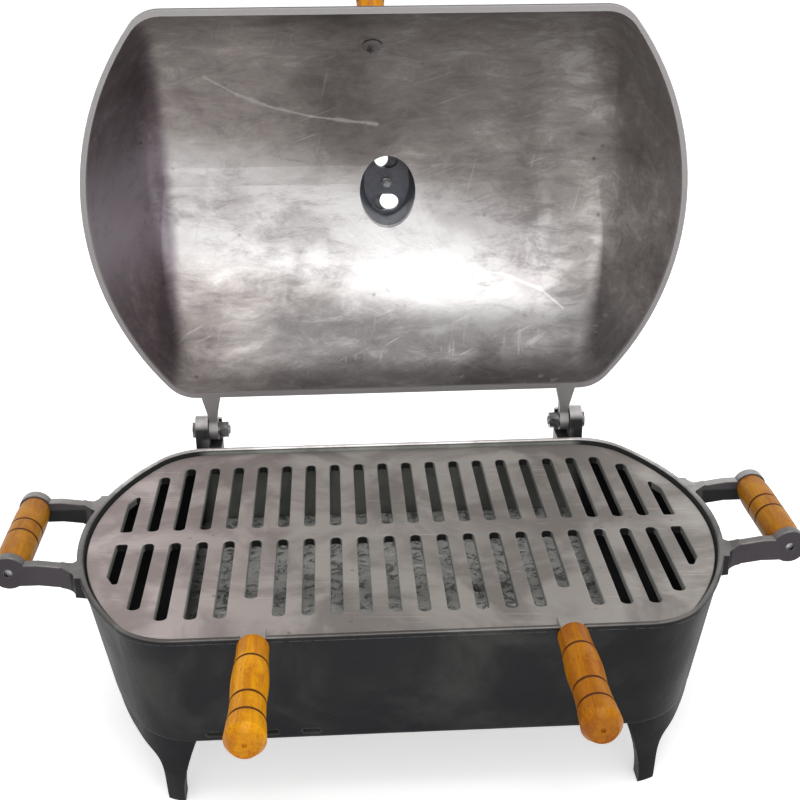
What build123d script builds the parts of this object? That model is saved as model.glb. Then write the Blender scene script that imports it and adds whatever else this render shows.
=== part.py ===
from build123d import *
from math import cos, radians, sin, sqrt, tan
import os

# Portable charcoal grill, sand-cast in aluminium: an oblong tub on four legs, and a vaulted lid that is
# hinged along the back. Millimetres, +Z up, the feet on z = 0, the long way along X, the front at -Y.
# The lid is modelled open, which is how it rests.

# Heights above the ground
foot_height = 0.0
tub_underside = 51.5
tub_floor_top = 56.5
coal_plate_top = 82.0
grate_top = 138.0
rim_top = 142.0

# Plan shape of the tub's rim, shared by the lid and both grates
rim_half_length = 242.0
rim_half_width = 160.1
end_bow_radius = 239.7
corner_radius = 48.0
end_draft = 10.1
side_draft = 8.0

# Tub walls
bead_height = 3.5
bead_overhang = 1.5
rim_width = 4.5
wall_foot_thickness = 4.2
rim_rounding = 1.3
rim_mouth_bevel = 1.0
outer_floor_radius = 4.0
inner_floor_radius = 8.0
edge_softening = 1.5

# Legs, drawn in the XZ plane as (distance from the middle, height)
leg_outer_curve = [(216.0, 76.0), (205.0, 46.0), (190.0, 40.5), (180.0, 34.0), (175.5, 20.0), (174.0, foot_height)]
leg_inner_curve = [(140.0, 76.0), (150.5, 52.0), (155.5, 38.0), (159.5, 24.0), (161.7, foot_height)]
leg_setback = 0.8
leg_thickness = 14.5
leg_top = 76.0

# Air slots low in the front wall
air_slot_positions = [-136.4, -99.5, -70.8]
air_slot_length = 13.0
air_slot_height = 4.0
air_slot_depth = 30.0

# Arms and wooden grips at the two ends
grip_axis_x = 284.5
grip_axis_height = 141.0
arm_spacing = 104.0
arm_thickness = 9.0
arm_root_x = 228.0
arm_root_top = 142.0
arm_root_bottom = 125.0
arm_rise_x = 241.0
arm_shoulder_x = 247.0
arm_shoulder_top = 144.5
arm_neck_x = 264.0
arm_neck_top = 147.0
arm_neck_bottom = 130.0
arm_flare_radius = 12.0
boss_radius = 12.8
rod_radius = 3.0
rod_recess = 2.5
grip_gap = 0.4
grip_end_radius = 11.2
grip_shoulder_radius = 12.3
grip_middle_radius = 12.5
grip_shoulder = 12.0
grip_ring_offset = 9.0

# Hinges on the back of the tub
hinge_x = 155.7
hinge_y = 195.4
hinge_height = 144.0
ear_thickness = 11.0
ear_radius = 13.0
eye_clearance = 0.4
base_overhang = 2.0
base_bottom = 116.0
base_top = 131.0
bracket_root_y = 146.0
gusset_bottom = 98.0
stop_front = 204.2
stop_top = 151.0
hinge_bolt_radius = 4.0
hinge_bolt_flats = 13.0
hinge_head_height = 3.0
hinge_nut_height = 8.0
hinge_nut_gap = 1.0
bolt_end_proud = 1.5
bolt_end_chamfer = 0.8
running_clearance = 0.06
thread_clearance = 0.03

# Lid, measured from the plane of its own rim
rim_gap = 0.3
open_angle = 82.0
lid_overhang = 2.0
lid_bead_height = 5.0
lid_bead_overhang = 1.2
lid_rim_width = 4.5
lid_inner_depth = 97.0
lid_wall = 4.0
end_cap_reach = 53.0
lid_corner_radius = 30.0
arch_angles = [0, 12, 24, 36, 48, 59, 69, 77, 83, 87]
tang_root_y = 152.0
tang_root_width = 16.0
tang_taper_start = 163.0
tang_taper_end = 181.0
tang_eye_width = 8.0
tang_eye_radius = 8.5
tang_root_height = 12.0

# Vent turret on the crown of the lid
vent_x = 4.0
vent_y = 15.5
well_mouth_half = (25.8, 32.0)
well_floor_half = (20.0, 30.5)
well_mouth_depth = 88.0
well_floor_depth = 122.0
turret_base_half = (31.0, 37.0)
turret_top_half = (26.0, 34.5)
turret_base_depth = 84.0
turret_top_depth = 126.0
vent_hole_length = 21.0
vent_hole_width = 15.3
vent_hole_offset = 19.5
vent_screw_radius = 2.5
vent_screw_end = 115.5
vent_head_radius = 4.8
vent_head_height = 3.2
small_nut_flats = 8.0
small_nut_height = 4.0
damper_radius = 30.0
damper_thickness = 2.5
damper_rest_angle = -26.0
damper_wide_hole = (30.0, 18.0)
damper_wide_hole_offset = 19.0
damper_tab_width = 14.0
damper_tab_length = 12.0
damper_tab_height = 11.0
washer_radius = 6.5
washer_thickness = 1.0

# Lid handle
lid_handle_x = -8.5
lid_handle_y = -118.0
lid_handle_depth = 66.0
lid_handle_rise = 52.0
outer_pad_radius = 15.0
outer_pad_height = 8.0
inner_pad_radius = 8.0
inner_pad_height = 2.5
collar_base_radius = 16.0
collar_top_radius = 12.4
collar_lip = 2.0
collar_height = 8.0
lid_stud_radius = 2.5
lid_stud_below = 9.0
lid_stud_in_wood = 32.0
lid_handle_length = 90.0

# Cooking grate
grate_inset = 6.6
grate_thickness = 5.5
grate_edge_softening = 1.0
slot_pitch = 20.0
slot_columns = 22
slot_width = 8.6
slot_inner_end = 10.4
slot_outer_end = 125.0
short_slot_end = 99.0
short_slot_columns = [5, 16]
second_slot_columns = [1, 20]
second_slot_end = 109.5
end_slot_columns = [0, 21]
end_slot_tip = 79.0
end_slot_shoulder = 60.0
end_slot_rounding = 2.0
tab_width = 16.0
tab_top = 141.5
tab_bottom = 132.5
tab_root_y = -144.0
notch_clearance = 0.4
grate_lug_reach = 9.0
grate_lug_width = 16.0
grate_lug_height = 8.0
side_lug_positions = [-110.0, 0.0, 110.0]

# Wooden handles of the cooking grate
grate_handle_x = 105.5
grate_handle_height = 137.0
grate_handle_base_y = -163.5
grate_handle_length = 108.0
# Turned profile as (distance from the base, radius)
grate_handle_curve = [(0.0, 10.6), (25.0, 11.3), (45.0, 12.1), (66.0, 11.3), (86.0, 12.1), (102.0, 13.0)]
lid_handle_curve = [(0.0, 11.4), (24.0, 11.2), (45.0, 12.1), (64.0, 11.3), (80.0, 12.2), (85.0, 12.3)]
handle_tip_radius = 9.5
grate_handle_rings = [25.0, 66.0, 86.0]
lid_handle_rings = [24.0, 64.0, 80.0]
ring_cut_radius = 0.9
lathe_mark_radius = 1.6
grate_stud_radius = 3.0
grate_stud_in_tab = 14.0
grate_stud_in_wood = 30.0

# Coal plate inside the tub
coal_plate_half_length = 168.0
coal_plate_half_width = 143.0
coal_plate_corner = 20.0
coal_plate_thickness = 4.0
coal_hole_positions = [-92.0, -60.0, 60.0, 92.0]
coal_hole_radius = 5.5
coal_hole_rim = 2.5
coal_hole_rim_height = 1.5
coal_post_radius = 7.0
coal_post_spacing = (300.0, 180.0)
coal_post_draft = 3.0


# Shapes shared by several pieces
def bow_depth(half_width):
    """How far the bowed end stands out beyond the end of the straight side."""
    return end_bow_radius - sqrt(end_bow_radius ** 2 - half_width ** 2)


def plan_outline(half_length, half_width, rounding=corner_radius):
    """Face with straight long sides, bowed ends and rounded corners."""
    corner_x = half_length - bow_depth(half_width)
    back = Line((-corner_x, half_width), (corner_x, half_width))
    right_end = ThreePointArc((corner_x, half_width), (half_length, 0), (corner_x, -half_width))
    front = Line((corner_x, -half_width), (-corner_x, -half_width))
    left_end = ThreePointArc((-corner_x, -half_width), (-half_length, 0), (-corner_x, half_width))
    outline = make_face([back, right_end, front, left_end])
    return fillet(outline.vertices(), rounding)


def drafted_outline(inset, drop):
    """The rim's plan shape, moved inwards and narrowed by the casting draft over a drop."""
    half_length = rim_half_length - inset - drop * tan(radians(end_draft))
    half_width = rim_half_width - inset - drop * tan(radians(side_draft))
    return plan_outline(half_length, half_width)


def slab(outline, bottom, top):
    """Solid of one plan shape between two heights."""
    return Pos(0, 0, bottom) * extrude(outline, top - bottom)


def lofted(bottom_outline, bottom, top_outline, top):
    """Straight-sided solid between two plan shapes at two heights."""
    return loft([Pos(0, 0, bottom) * bottom_outline, Pos(0, 0, top) * top_outline], ruled=True)


def hex_prism(across_flats, height):
    """Hexagonal prism standing on the XY plane."""
    return extrude(RegularPolygon(across_flats / 2, 6, major_radius=False), height)


def rod(radius, start, end):
    """Cylinder along Z between two positions."""
    return Pos(0, 0, start) * extrude(Circle(radius), end - start)


def turned_wood(curve, length, tip_radius, rings):
    """Turned handle standing on its base, with burnt rings and a tapered tip."""
    side = Spline([(radius, height) for height, radius in curve])
    widest = curve[-1]
    tip = Polyline((widest[1], widest[0]), (tip_radius, length), (0, length))
    base = Polyline((0, length), (0, 0), (curve[0][1], 0))
    profile = make_face([side, tip, base])
    wood = revolve(Plane.XZ * profile, Axis.Z)
    for height in rings:
        radius = side_radius(curve, height)
        groove = Plane.XZ * Pos(radius, height) * Circle(ring_cut_radius)
        wood -= revolve(groove, Axis.Z)
    return wood


def side_radius(curve, height):
    """Radius of the turned profile at the listed height."""
    return dict(curve)[height]


# Fire tub
def tub_body():
    """Outside of the tub with its rim bead, solid through."""
    body_top = rim_top - bead_height
    foot_drop = body_top - tub_underside
    body = lofted(
        drafted_outline(bead_overhang, foot_drop), tub_underside,
        drafted_outline(bead_overhang, 0), body_top,
    )
    body = fillet(body.faces().sort_by(Axis.Z)[0].edges(), outer_floor_radius)
    bead = slab(plan_outline(rim_half_length, rim_half_width), body_top, rim_top)
    bead = fillet(bead.faces().sort_by(Axis.Z)[-1].edges(), rim_rounding)
    return body + bead


def tub_cavity():
    """Hollow inside of the tub, with a bevelled mouth."""
    mouth_bottom = rim_top - rim_mouth_bevel
    floor_drop = rim_top - bead_height - tub_floor_top
    cavity = loft([
        Pos(0, 0, tub_floor_top) * drafted_outline(bead_overhang + wall_foot_thickness, floor_drop),
        Pos(0, 0, mouth_bottom) * drafted_outline(rim_width, 0),
        Pos(0, 0, rim_top) * drafted_outline(rim_width - rim_mouth_bevel, 0),
    ], ruled=True)
    return fillet(cavity.faces().sort_by(Axis.Z)[0].edges(), inner_floor_radius)


def leg():
    """Right front leg: a flared slab that follows the corner of the tub."""
    outer = Spline(leg_outer_curve)
    inner = Spline(leg_inner_curve)
    top = Line(leg_outer_curve[0], leg_inner_curve[0])
    foot = Line(leg_outer_curve[-1], leg_inner_curve[-1])
    flare = extrude(Plane.XZ * make_face([outer, top, inner, foot]), rim_half_width)
    foot_outline = drafted_outline(bead_overhang, rim_top - bead_height - tub_underside)
    shell = slab(offset(foot_outline, -leg_setback), foot_height, leg_top)
    shell -= slab(offset(foot_outline, -leg_thickness), foot_height, leg_top)
    return flare & shell


def arm_side_view():
    """Outline of an arm and its boss in the XZ plane."""
    neck = Polyline(
        (arm_root_x, arm_root_bottom), (arm_root_x, arm_root_top), (arm_rise_x, arm_root_top),
        (arm_shoulder_x, arm_shoulder_top), (arm_neck_x, arm_neck_top), (grip_axis_x, arm_neck_top),
        (grip_axis_x, arm_neck_bottom), (arm_neck_x, arm_neck_bottom), (arm_root_x, arm_root_bottom),
    )
    return make_face(neck) + Pos(grip_axis_x, grip_axis_height) * Circle(boss_radius)


def arm_flare():
    """Plan shape of the hollow-curved flare where an arm leaves the rim."""
    rim_x = rim_half_length - bow_depth(arm_spacing / 2)
    reach = rim_x + arm_flare_radius - arm_root_x
    width = arm_thickness + 2 * arm_flare_radius
    flare = Pos(arm_root_x + reach / 2, 0) * Rectangle(reach, width)
    for side in (-1, 1):
        flare -= Pos(rim_x + arm_flare_radius, side * width / 2) * Circle(arm_flare_radius)
    return flare


def arm():
    """Right front arm with the round boss that holds the grip's rod."""
    bar = extrude(Plane.XZ * arm_side_view(), arm_thickness / 2, both=True)
    big_faces = bar.faces().sort_by(Axis.Y)
    bar = fillet(big_faces[0].edges() + big_faces[-1].edges(), edge_softening)
    bore = rod(rod_radius, -arm_thickness, arm_thickness)
    bar -= Pos(grip_axis_x, 0, grip_axis_height) * Rot(90, 0, 0) * bore
    flare_half = arm_thickness / 2 + arm_flare_radius
    wide_side_view = extrude(Plane.XZ * arm_side_view(), flare_half, both=True)
    bar += wide_side_view & slab(arm_flare(), foot_height, arm_shoulder_top)
    return Pos(0, -arm_spacing / 2, 0) * bar


def eye_side():
    """Distance from the middle of a tang's eye to the ear beside it."""
    return tang_eye_width / 2 + eye_clearance


def hinge_bracket():
    """Right hinge bracket: an ear outside the tang's eye, and a block that stops the open lid."""
    base_inside = -eye_side() - base_overhang
    base_width = eye_side() + ear_thickness - base_inside
    back = hinge_y + ear_radius
    ear_foot_height = hinge_height - base_bottom
    ear_shape = Pos(hinge_y, hinge_height) * Circle(ear_radius)
    ear_foot = Rectangle(2 * ear_radius, ear_foot_height)
    ear_shape += Pos(hinge_y, hinge_height - ear_foot_height / 2) * ear_foot
    base_shape = make_face(Polyline(
        (bracket_root_y, base_top), (back, base_top), (back, base_bottom), (hinge_y, base_bottom),
        (bracket_root_y, gusset_bottom), (bracket_root_y, base_top),
    ))
    bracket = Pos(base_inside, 0, 0) * extrude(Plane.YZ * base_shape, base_width)
    bracket += Pos(eye_side(), 0, 0) * extrude(Plane.YZ * ear_shape, ear_thickness)
    stop = Pos(0, (stop_front + back) / 2, (base_top + stop_top) / 2)
    bracket += stop * Box(-2 * base_inside, back - stop_front, stop_top - base_top)
    bore = rod(hinge_bolt_radius + running_clearance, 0, 2 * ear_thickness)
    bracket -= Pos(0, hinge_y, hinge_height) * Rot(0, 90, 0) * bore
    return Pos(hinge_x, 0, 0) * bracket


def grate_lugs():
    """Blocks round the inside wall that carry the cooking grate."""
    top = grate_top - grate_thickness
    middle = top - grate_lug_height / 2
    drop = rim_top - top
    wall_y = rim_half_width - rim_width - drop * tan(radians(side_draft))
    wall_x = rim_half_length - rim_width - drop * tan(radians(end_draft))
    side_block = Box(grate_lug_width, 2 * grate_lug_reach, grate_lug_height)
    end_block = Box(2 * grate_lug_reach, grate_lug_width, grate_lug_height)
    lugs = Part()
    for x in side_lug_positions:
        lugs += Pos(x, wall_y, middle) * side_block
        lugs += Pos(x, -wall_y, middle) * side_block
    lugs += Pos(wall_x, 0, middle) * end_block
    lugs += Pos(-wall_x, 0, middle) * end_block
    return lugs


def coal_posts():
    """Tapered posts on the floor that carry the coal plate."""
    height = coal_plate_top - coal_plate_thickness - tub_underside
    post = extrude(Circle(coal_post_radius), height, taper=coal_post_draft)
    spread_x, spread_y = coal_post_spacing
    posts = Part()
    for x in (-spread_x / 2, 0, spread_x / 2):
        for y in (-spread_y / 2, spread_y / 2):
            posts += Pos(x, y, tub_underside) * post
    return posts


def rim_notch(x):
    """Gap in the front rim that a tab of the cooking grate passes through."""
    bottom = tab_bottom - notch_clearance
    width = tab_width + 2 * notch_clearance
    depth = 2 * (rim_width + grate_inset)
    return Pos(x, -rim_half_width, (bottom + 2 * rim_top) / 2) * Box(width, depth, 2 * rim_top - bottom)


def air_slot(x):
    """Slot through the foot of the front wall."""
    shape = SlotOverall(air_slot_length, air_slot_height)
    height = tub_floor_top + air_slot_height / 2
    cut = extrude(Plane.XZ * shape, air_slot_depth / 2, both=True)
    return Pos(x, -rim_half_width + air_slot_depth / 2, height) * cut


def fire_tub():
    """The whole tub casting."""
    body = tub_body()
    front_right = [leg(), arm()]
    for solid in front_right:
        front_left = mirror(solid, Plane.YZ)
        body += [solid, front_left, mirror(solid, Plane.XZ), mirror(front_left, Plane.XZ)]
    bracket = hinge_bracket()
    body += [bracket, mirror(bracket, Plane.YZ)]
    body -= tub_cavity()
    body += grate_lugs() & tub_body()
    body += coal_posts()
    for side in (-1, 1):
        body -= rim_notch(side * grate_handle_x)
    for x in air_slot_positions:
        body -= air_slot(x)
    return body


def side_grip():
    """Right wooden grip along Y, bored for its rod."""
    length = arm_spacing - arm_thickness - 2 * grip_gap
    middle = length / 2
    curve = [
        (0.0, grip_end_radius), (grip_shoulder, grip_shoulder_radius),
        (middle - grip_ring_offset, grip_middle_radius), (middle + grip_ring_offset, grip_middle_radius),
        (length - grip_shoulder, grip_shoulder_radius),
    ]
    rings = [middle - grip_ring_offset, middle + grip_ring_offset]
    wood = turned_wood(curve, length, grip_end_radius, rings)
    wood -= rod(rod_radius + running_clearance, 0, length)
    return Pos(grip_axis_x, length / 2, grip_axis_height) * Rot(90, 0, 0) * wood


def side_grip_rod():
    """Right steel rod through both bosses and the grip."""
    half = (arm_spacing + arm_thickness) / 2 - rod_recess
    return Pos(grip_axis_x, 0, grip_axis_height) * Rot(90, 0, 0) * rod(rod_radius, -half, half)


# Hinge hardware
def nut_side():
    """Distance from the middle of a tang's eye to the nut beside it."""
    return tang_eye_width / 2 + hinge_nut_gap


def hinge_bolt():
    """Right hinge bolt: low hexagon head outside the ear, shank through the ear and the tang's eye."""
    head_side = eye_side() + ear_thickness
    shank = rod(hinge_bolt_radius, -nut_side() - hinge_nut_height - bolt_end_proud, head_side)
    shank = chamfer(shank.edges().sort_by(Axis.Z)[0], bolt_end_chamfer)
    head = Pos(0, 0, head_side) * hex_prism(hinge_bolt_flats, hinge_head_height)
    return Pos(hinge_x, hinge_y, hinge_height) * Rot(0, 90, 0) * (shank + head)


def hinge_nut():
    """Right hinge nut on the inner side of the tang's eye."""
    nut = hex_prism(hinge_bolt_flats, hinge_nut_height)
    nut -= rod(hinge_bolt_radius + thread_clearance, 0, hinge_nut_height)
    return Pos(hinge_x - nut_side() - hinge_nut_height, hinge_y, hinge_height) * Rot(0, 90, 0) * nut


# Lid, built closed with its rim on z = 0 and then swung open
def to_open_lid(shape):
    """Moves a piece from the lid's own closed frame to the open lid on the grill."""
    lid_height = rim_top + rim_gap - hinge_height
    placed = Pos(0, -hinge_y, lid_height) * shape
    return Pos(0, hinge_y, hinge_height) * Rot(-open_angle, 0, 0) * placed


def vault(half_length, half_width, depth):
    """Barrel vault with rounded ends, lofted through plan shapes that follow an elliptical arch."""
    sections = []
    for angle in arch_angles:
        rise = sin(radians(angle))
        section_width = half_width * cos(radians(angle))
        section_length = half_length - end_cap_reach * (1 - sqrt(1 - rise))
        rounding = lid_corner_radius * section_width / rim_half_width
        outline = plan_outline(section_length, section_width, rounding)
        sections.append(Pos(0, 0, depth * rise) * outline)
    return loft(sections)


def oval_taper(base_half, base, top_half, top):
    """Tapered oval plug of the vent turret."""
    plug = loft([Pos(0, 0, base) * Ellipse(*base_half), Pos(0, 0, top) * Ellipse(*top_half)])
    return Pos(vent_x, vent_y, 0) * plug


def vent_holes(bottom, top):
    """Pair of vent openings either side of the screw."""
    opening = extrude(SlotOverall(vent_hole_length, vent_hole_width), top - bottom)
    front = Pos(0, -vent_hole_offset, bottom) * opening
    back = Pos(0, vent_hole_offset, bottom) * opening
    return front + back


def on_handle_axis(shape):
    """Moves a piece standing on z = 0 to the slanted axis of the lid handle."""
    tilt = 90 - lid_handle_rise
    return Pos(lid_handle_x, lid_handle_y, lid_handle_depth) * Rot(tilt, 0, 0) * shape


def lid_tang():
    """Right tang that runs from the lid's rim to the hinge bolt."""
    eye_z = hinge_height - rim_top - rim_gap
    root = make_face(Polyline(
        (tang_root_y, 0), (tang_root_y, tang_root_height), (hinge_y, eye_z + tang_eye_radius),
        (hinge_y, 0), (tang_root_y, 0),
    ))
    profile = root + Pos(hinge_y, eye_z) * Circle(tang_eye_radius)
    side_view = extrude(Plane.YZ * profile, tang_root_width, both=True)
    tip_y = hinge_y + 2 * tang_eye_radius
    wide = tang_root_width / 2
    narrow = tang_eye_width / 2
    top_view = make_face(Polyline(
        (-wide, tang_root_y), (-wide, tang_taper_start), (-narrow, tang_taper_end), (-narrow, tip_y),
        (narrow, tip_y), (narrow, tang_taper_end), (wide, tang_taper_start), (wide, tang_root_y),
        (-wide, tang_root_y),
    ))
    tang = side_view & slab(top_view, -2 * tang_eye_radius, 2 * tang_eye_radius)
    bore = rod(hinge_bolt_radius + running_clearance, -tang_root_width, tang_root_width)
    tang -= Pos(0, hinge_y, eye_z) * Rot(0, 90, 0) * bore
    return Pos(hinge_x, 0, 0) * tang


def lid_shell():
    """The whole lid casting, closed."""
    half_length = rim_half_length + lid_overhang
    half_width = rim_half_width + lid_overhang
    outer_depth = lid_inner_depth + lid_wall
    shell = vault(half_length - lid_bead_overhang, half_width - lid_bead_overhang, outer_depth)
    shell += slab(plan_outline(half_length, half_width, lid_corner_radius), 0, lid_bead_height)
    shell += oval_taper(turret_base_half, turret_base_depth, turret_top_half, turret_top_depth)
    shell += on_handle_axis(rod(outer_pad_radius, 0, outer_pad_height))
    tang = lid_tang()
    shell += [tang, mirror(tang, Plane.YZ)]
    shell -= vault(half_length - lid_rim_width, half_width - lid_rim_width, lid_inner_depth)
    shell -= oval_taper(well_mouth_half, well_mouth_depth, well_floor_half, well_floor_depth)
    shell -= Pos(vent_x, vent_y, 0) * vent_holes(well_floor_depth, turret_top_depth)
    screw_bore = rod(vent_screw_radius + running_clearance, well_floor_depth, turret_top_depth)
    shell -= Pos(vent_x, vent_y, 0) * screw_bore
    shell += on_handle_axis(rod(inner_pad_radius, -inner_pad_height, outer_pad_height))
    stud_bore = rod(lid_stud_radius + running_clearance, -inner_pad_height, outer_pad_height)
    shell -= on_handle_axis(stud_bore)
    return shell


def vent_damper():
    """Round damper plate with two openings and an upturned finger tab."""
    tab_middle = damper_radius + damper_tab_length / 2 - damper_thickness
    plate = extrude(Circle(damper_radius), damper_thickness)
    flat_tab = Box(damper_tab_length, damper_tab_width, damper_thickness)
    plate += Pos(tab_middle, 0, damper_thickness / 2) * flat_tab
    tab_end = damper_radius + damper_tab_length - 2 * damper_thickness
    plate += Pos(tab_end + damper_thickness / 2, 0, damper_tab_height / 2) * Box(
        damper_thickness, damper_tab_width, damper_tab_height)
    wide_hole = extrude(SlotOverall(*damper_wide_hole), damper_thickness)
    plate -= vent_holes(0, damper_thickness) + Pos(0, damper_wide_hole_offset, 0) * wide_hole
    plate -= rod(vent_screw_radius + running_clearance, 0, damper_thickness)
    return Pos(vent_x, vent_y, turret_top_depth) * Rot(0, 0, damper_rest_angle) * plate


def vent_washer():
    """Spring washer, pressed flat between the damper and the screw's head."""
    hole = Circle(vent_screw_radius + running_clearance)
    ring = extrude(Circle(washer_radius) - hole, washer_thickness)
    return Pos(vent_x, vent_y, turret_top_depth + damper_thickness) * ring


def vent_screw():
    """Round-headed screw that the damper turns on."""
    seat = turret_top_depth + damper_thickness + washer_thickness
    shank = rod(vent_screw_radius, vent_screw_end, seat)
    head = rod(vent_head_radius, seat, seat + vent_head_height)
    head = fillet(head.edges().sort_by(Axis.Z)[-1], vent_head_height / 2)
    return Pos(vent_x, vent_y, 0) * (shank + head)


def vent_nut():
    """Nut of the damper's screw, inside the well."""
    nut = hex_prism(small_nut_flats, small_nut_height)
    nut -= rod(vent_screw_radius + thread_clearance, 0, small_nut_height)
    return Pos(vent_x, vent_y, well_floor_depth - small_nut_height) * nut


def lid_handle_collar():
    """Flared metal collar between the lid and the wooden handle."""
    outline = Polyline(
        (0, 0), (collar_base_radius, 0), (collar_base_radius, collar_lip),
        (collar_top_radius, collar_height), (0, collar_height), (0, 0),
    )
    collar = revolve(Plane.XZ * make_face(outline), Axis.Z)
    collar -= rod(lid_stud_radius + running_clearance, 0, collar_height)
    return on_handle_axis(Pos(0, 0, outer_pad_height) * collar)


def lid_handle():
    """Turned wooden handle of the lid."""
    wood = turned_wood(lid_handle_curve, lid_handle_length, handle_tip_radius, lid_handle_rings)
    wood -= rod(lid_stud_radius + thread_clearance, 0, lid_stud_in_wood)
    return on_handle_axis(Pos(0, 0, outer_pad_height + collar_height) * wood)


def lid_handle_stud():
    """Threaded stud through the lid, the collar and into the handle."""
    end = outer_pad_height + collar_height + lid_stud_in_wood
    return on_handle_axis(rod(lid_stud_radius, -lid_stud_below, end))


def lid_handle_nut():
    """Nut inside the lid that holds the handle's stud."""
    nut = hex_prism(small_nut_flats, small_nut_height)
    nut -= rod(lid_stud_radius + thread_clearance, 0, small_nut_height)
    return on_handle_axis(Pos(0, 0, -inner_pad_height - small_nut_height) * nut)


# Cooking grate
def end_slot(x, side):
    """Outermost slot, cut off at a slant along the bowed end."""
    inner_x = abs(x) - slot_width / 2
    outer_x = abs(x) + slot_width / 2
    corners = [
        (inner_x, slot_inner_end), (inner_x, end_slot_tip), (outer_x, end_slot_shoulder),
        (outer_x, slot_inner_end), (inner_x, slot_inner_end),
    ]
    direction = 1 if x > 0 else -1
    outline = make_face(Polyline([(direction * along, side * across) for along, across in corners]))
    return fillet(outline.vertices(), end_slot_rounding)


def slot_end(column, side):
    """How far a straight slot reaches from the middle of the grate."""
    if column in second_slot_columns:
        return second_slot_end
    if side < 0 and column in short_slot_columns:
        return short_slot_end
    return slot_outer_end


def grate_slots():
    """Both rows of slots as one flat shape."""
    slots = Sketch()
    for column in range(slot_columns):
        x = (column - (slot_columns - 1) / 2) * slot_pitch
        for side in (-1, 1):
            outer_end = slot_end(column, side)
            middle = side * (slot_inner_end + outer_end) / 2
            if column in end_slot_columns:
                slots += end_slot(x, side)
            else:
                length = outer_end - slot_inner_end
                slots += Pos(x, middle) * SlotOverall(length, slot_width, rotation=90)
    return slots


def cooking_grate():
    """Slotted plate with the two tabs that carry its handles."""
    outline = plan_outline(rim_half_length - grate_inset, rim_half_width - grate_inset)
    plate = slab(outline, grate_top - grate_thickness, grate_top)
    plate -= slab(grate_slots(), grate_top - grate_thickness, grate_top)
    plate = fillet(plate.faces().sort_by(Axis.Z)[-1].edges(), grate_edge_softening)
    tab_length = tab_root_y - grate_handle_base_y
    tab = Box(tab_width, tab_length, tab_top - tab_bottom)
    ramp = fillet(tab.edges().filter_by(Axis.X).group_by(Axis.Z)[-1], grate_edge_softening)
    for side in (-1, 1):
        x = side * grate_handle_x
        plate += Pos(x, tab_root_y - tab_length / 2, (tab_top + tab_bottom) / 2) * ramp
        bore = rod(grate_stud_radius + thread_clearance, 0, grate_stud_in_tab)
        plate -= Pos(x, grate_handle_base_y, grate_handle_height) * Rot(-90, 0, 0) * bore
    return plate


def grate_handle():
    """Right turned wooden handle of the cooking grate, pointing to the front."""
    wood = turned_wood(grate_handle_curve, grate_handle_length, handle_tip_radius, grate_handle_rings)
    wood -= rod(grate_stud_radius + thread_clearance, 0, grate_stud_in_wood)
    wood -= Pos(0, 0, grate_handle_length) * Sphere(lathe_mark_radius)
    return Pos(grate_handle_x, grate_handle_base_y, grate_handle_height) * Rot(90, 0, 0) * wood


def grate_handle_stud():
    """Right threaded stud between the tab and the handle."""
    stud = rod(grate_stud_radius, -grate_stud_in_tab, grate_stud_in_wood)
    return Pos(grate_handle_x, grate_handle_base_y, grate_handle_height) * Rot(90, 0, 0) * stud


# Coal plate
def coal_plate():
    """Plate that holds the coals off the floor, with a row of rimmed draught holes."""
    bottom = coal_plate_top - coal_plate_thickness
    outline = RectangleRounded(2 * coal_plate_half_length, 2 * coal_plate_half_width, coal_plate_corner)
    plate = slab(outline, bottom, coal_plate_top)
    rim_height = coal_plate_top + coal_hole_rim_height
    for x in coal_hole_positions:
        plate += Pos(x, 0, 0) * rod(coal_hole_radius + coal_hole_rim, bottom, rim_height)
        plate -= Pos(x, 0, 0) * rod(coal_hole_radius, bottom, rim_height)
    return plate


# All pieces, each under the name of its node
def both_sides(name, right_piece):
    """The right piece and its mirror image on the left."""
    return {name + "_right": right_piece, name + "_left": mirror(right_piece, Plane.YZ)}


def all_pieces():
    """Every piece in its rest position, before the model is centred."""
    pieces = {
        "fire_tub": fire_tub(),
        "coal_plate": coal_plate(),
        "cooking_grate": cooking_grate(),
    }
    pieces.update(both_sides("side_grip", side_grip()))
    pieces.update(both_sides("side_grip_rod", side_grip_rod()))
    pieces.update(both_sides("hinge_bolt", hinge_bolt()))
    pieces.update(both_sides("hinge_nut", hinge_nut()))
    pieces.update(both_sides("grate_handle", grate_handle()))
    pieces.update(both_sides("grate_handle_stud", grate_handle_stud()))
    lid_pieces = {
        "lid_shell": lid_shell(),
        "vent_damper": vent_damper(),
        "vent_washer": vent_washer(),
        "vent_screw": vent_screw(),
        "vent_nut": vent_nut(),
        "lid_handle": lid_handle(),
        "lid_handle_collar": lid_handle_collar(),
        "lid_handle_stud": lid_handle_stud(),
        "lid_handle_nut": lid_handle_nut(),
    }
    for name, piece in lid_pieces.items():
        pieces[name] = to_open_lid(piece)
    return pieces


pieces = all_pieces()

# The origin lies under the middle of the open grill, so that both ends of its depth are equally far away
boxes = [piece.bounding_box() for piece in pieces.values()]
front_end = min(box.min.Y for box in boxes)
back_end = max(box.max.Y for box in boxes)
centre_y = (front_end + back_end) / 2

os.makedirs("parts", exist_ok=True)
for name, piece in pieces.items():
    export_step(Pos(0, -centre_y, 0) * piece, "parts/" + name + ".step")
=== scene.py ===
"""Looks of the portable charcoal grill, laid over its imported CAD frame.

The tub, the lid and the cooking grate are aluminium sand castings, the coal plate has a bright
crinkled skin, the handles are turned and varnished wood, and the fasteners are plated steel. Lengths
are in metres, in the frame's own axes: the long way of the grill along X, its front at -Y, its feet
on Z = 0.
"""

import logging
import math
from dataclasses import dataclass, field
from enum import Enum
from typing import Mapping, Sequence

import bpy
from mathutils import Matrix, Vector


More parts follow.
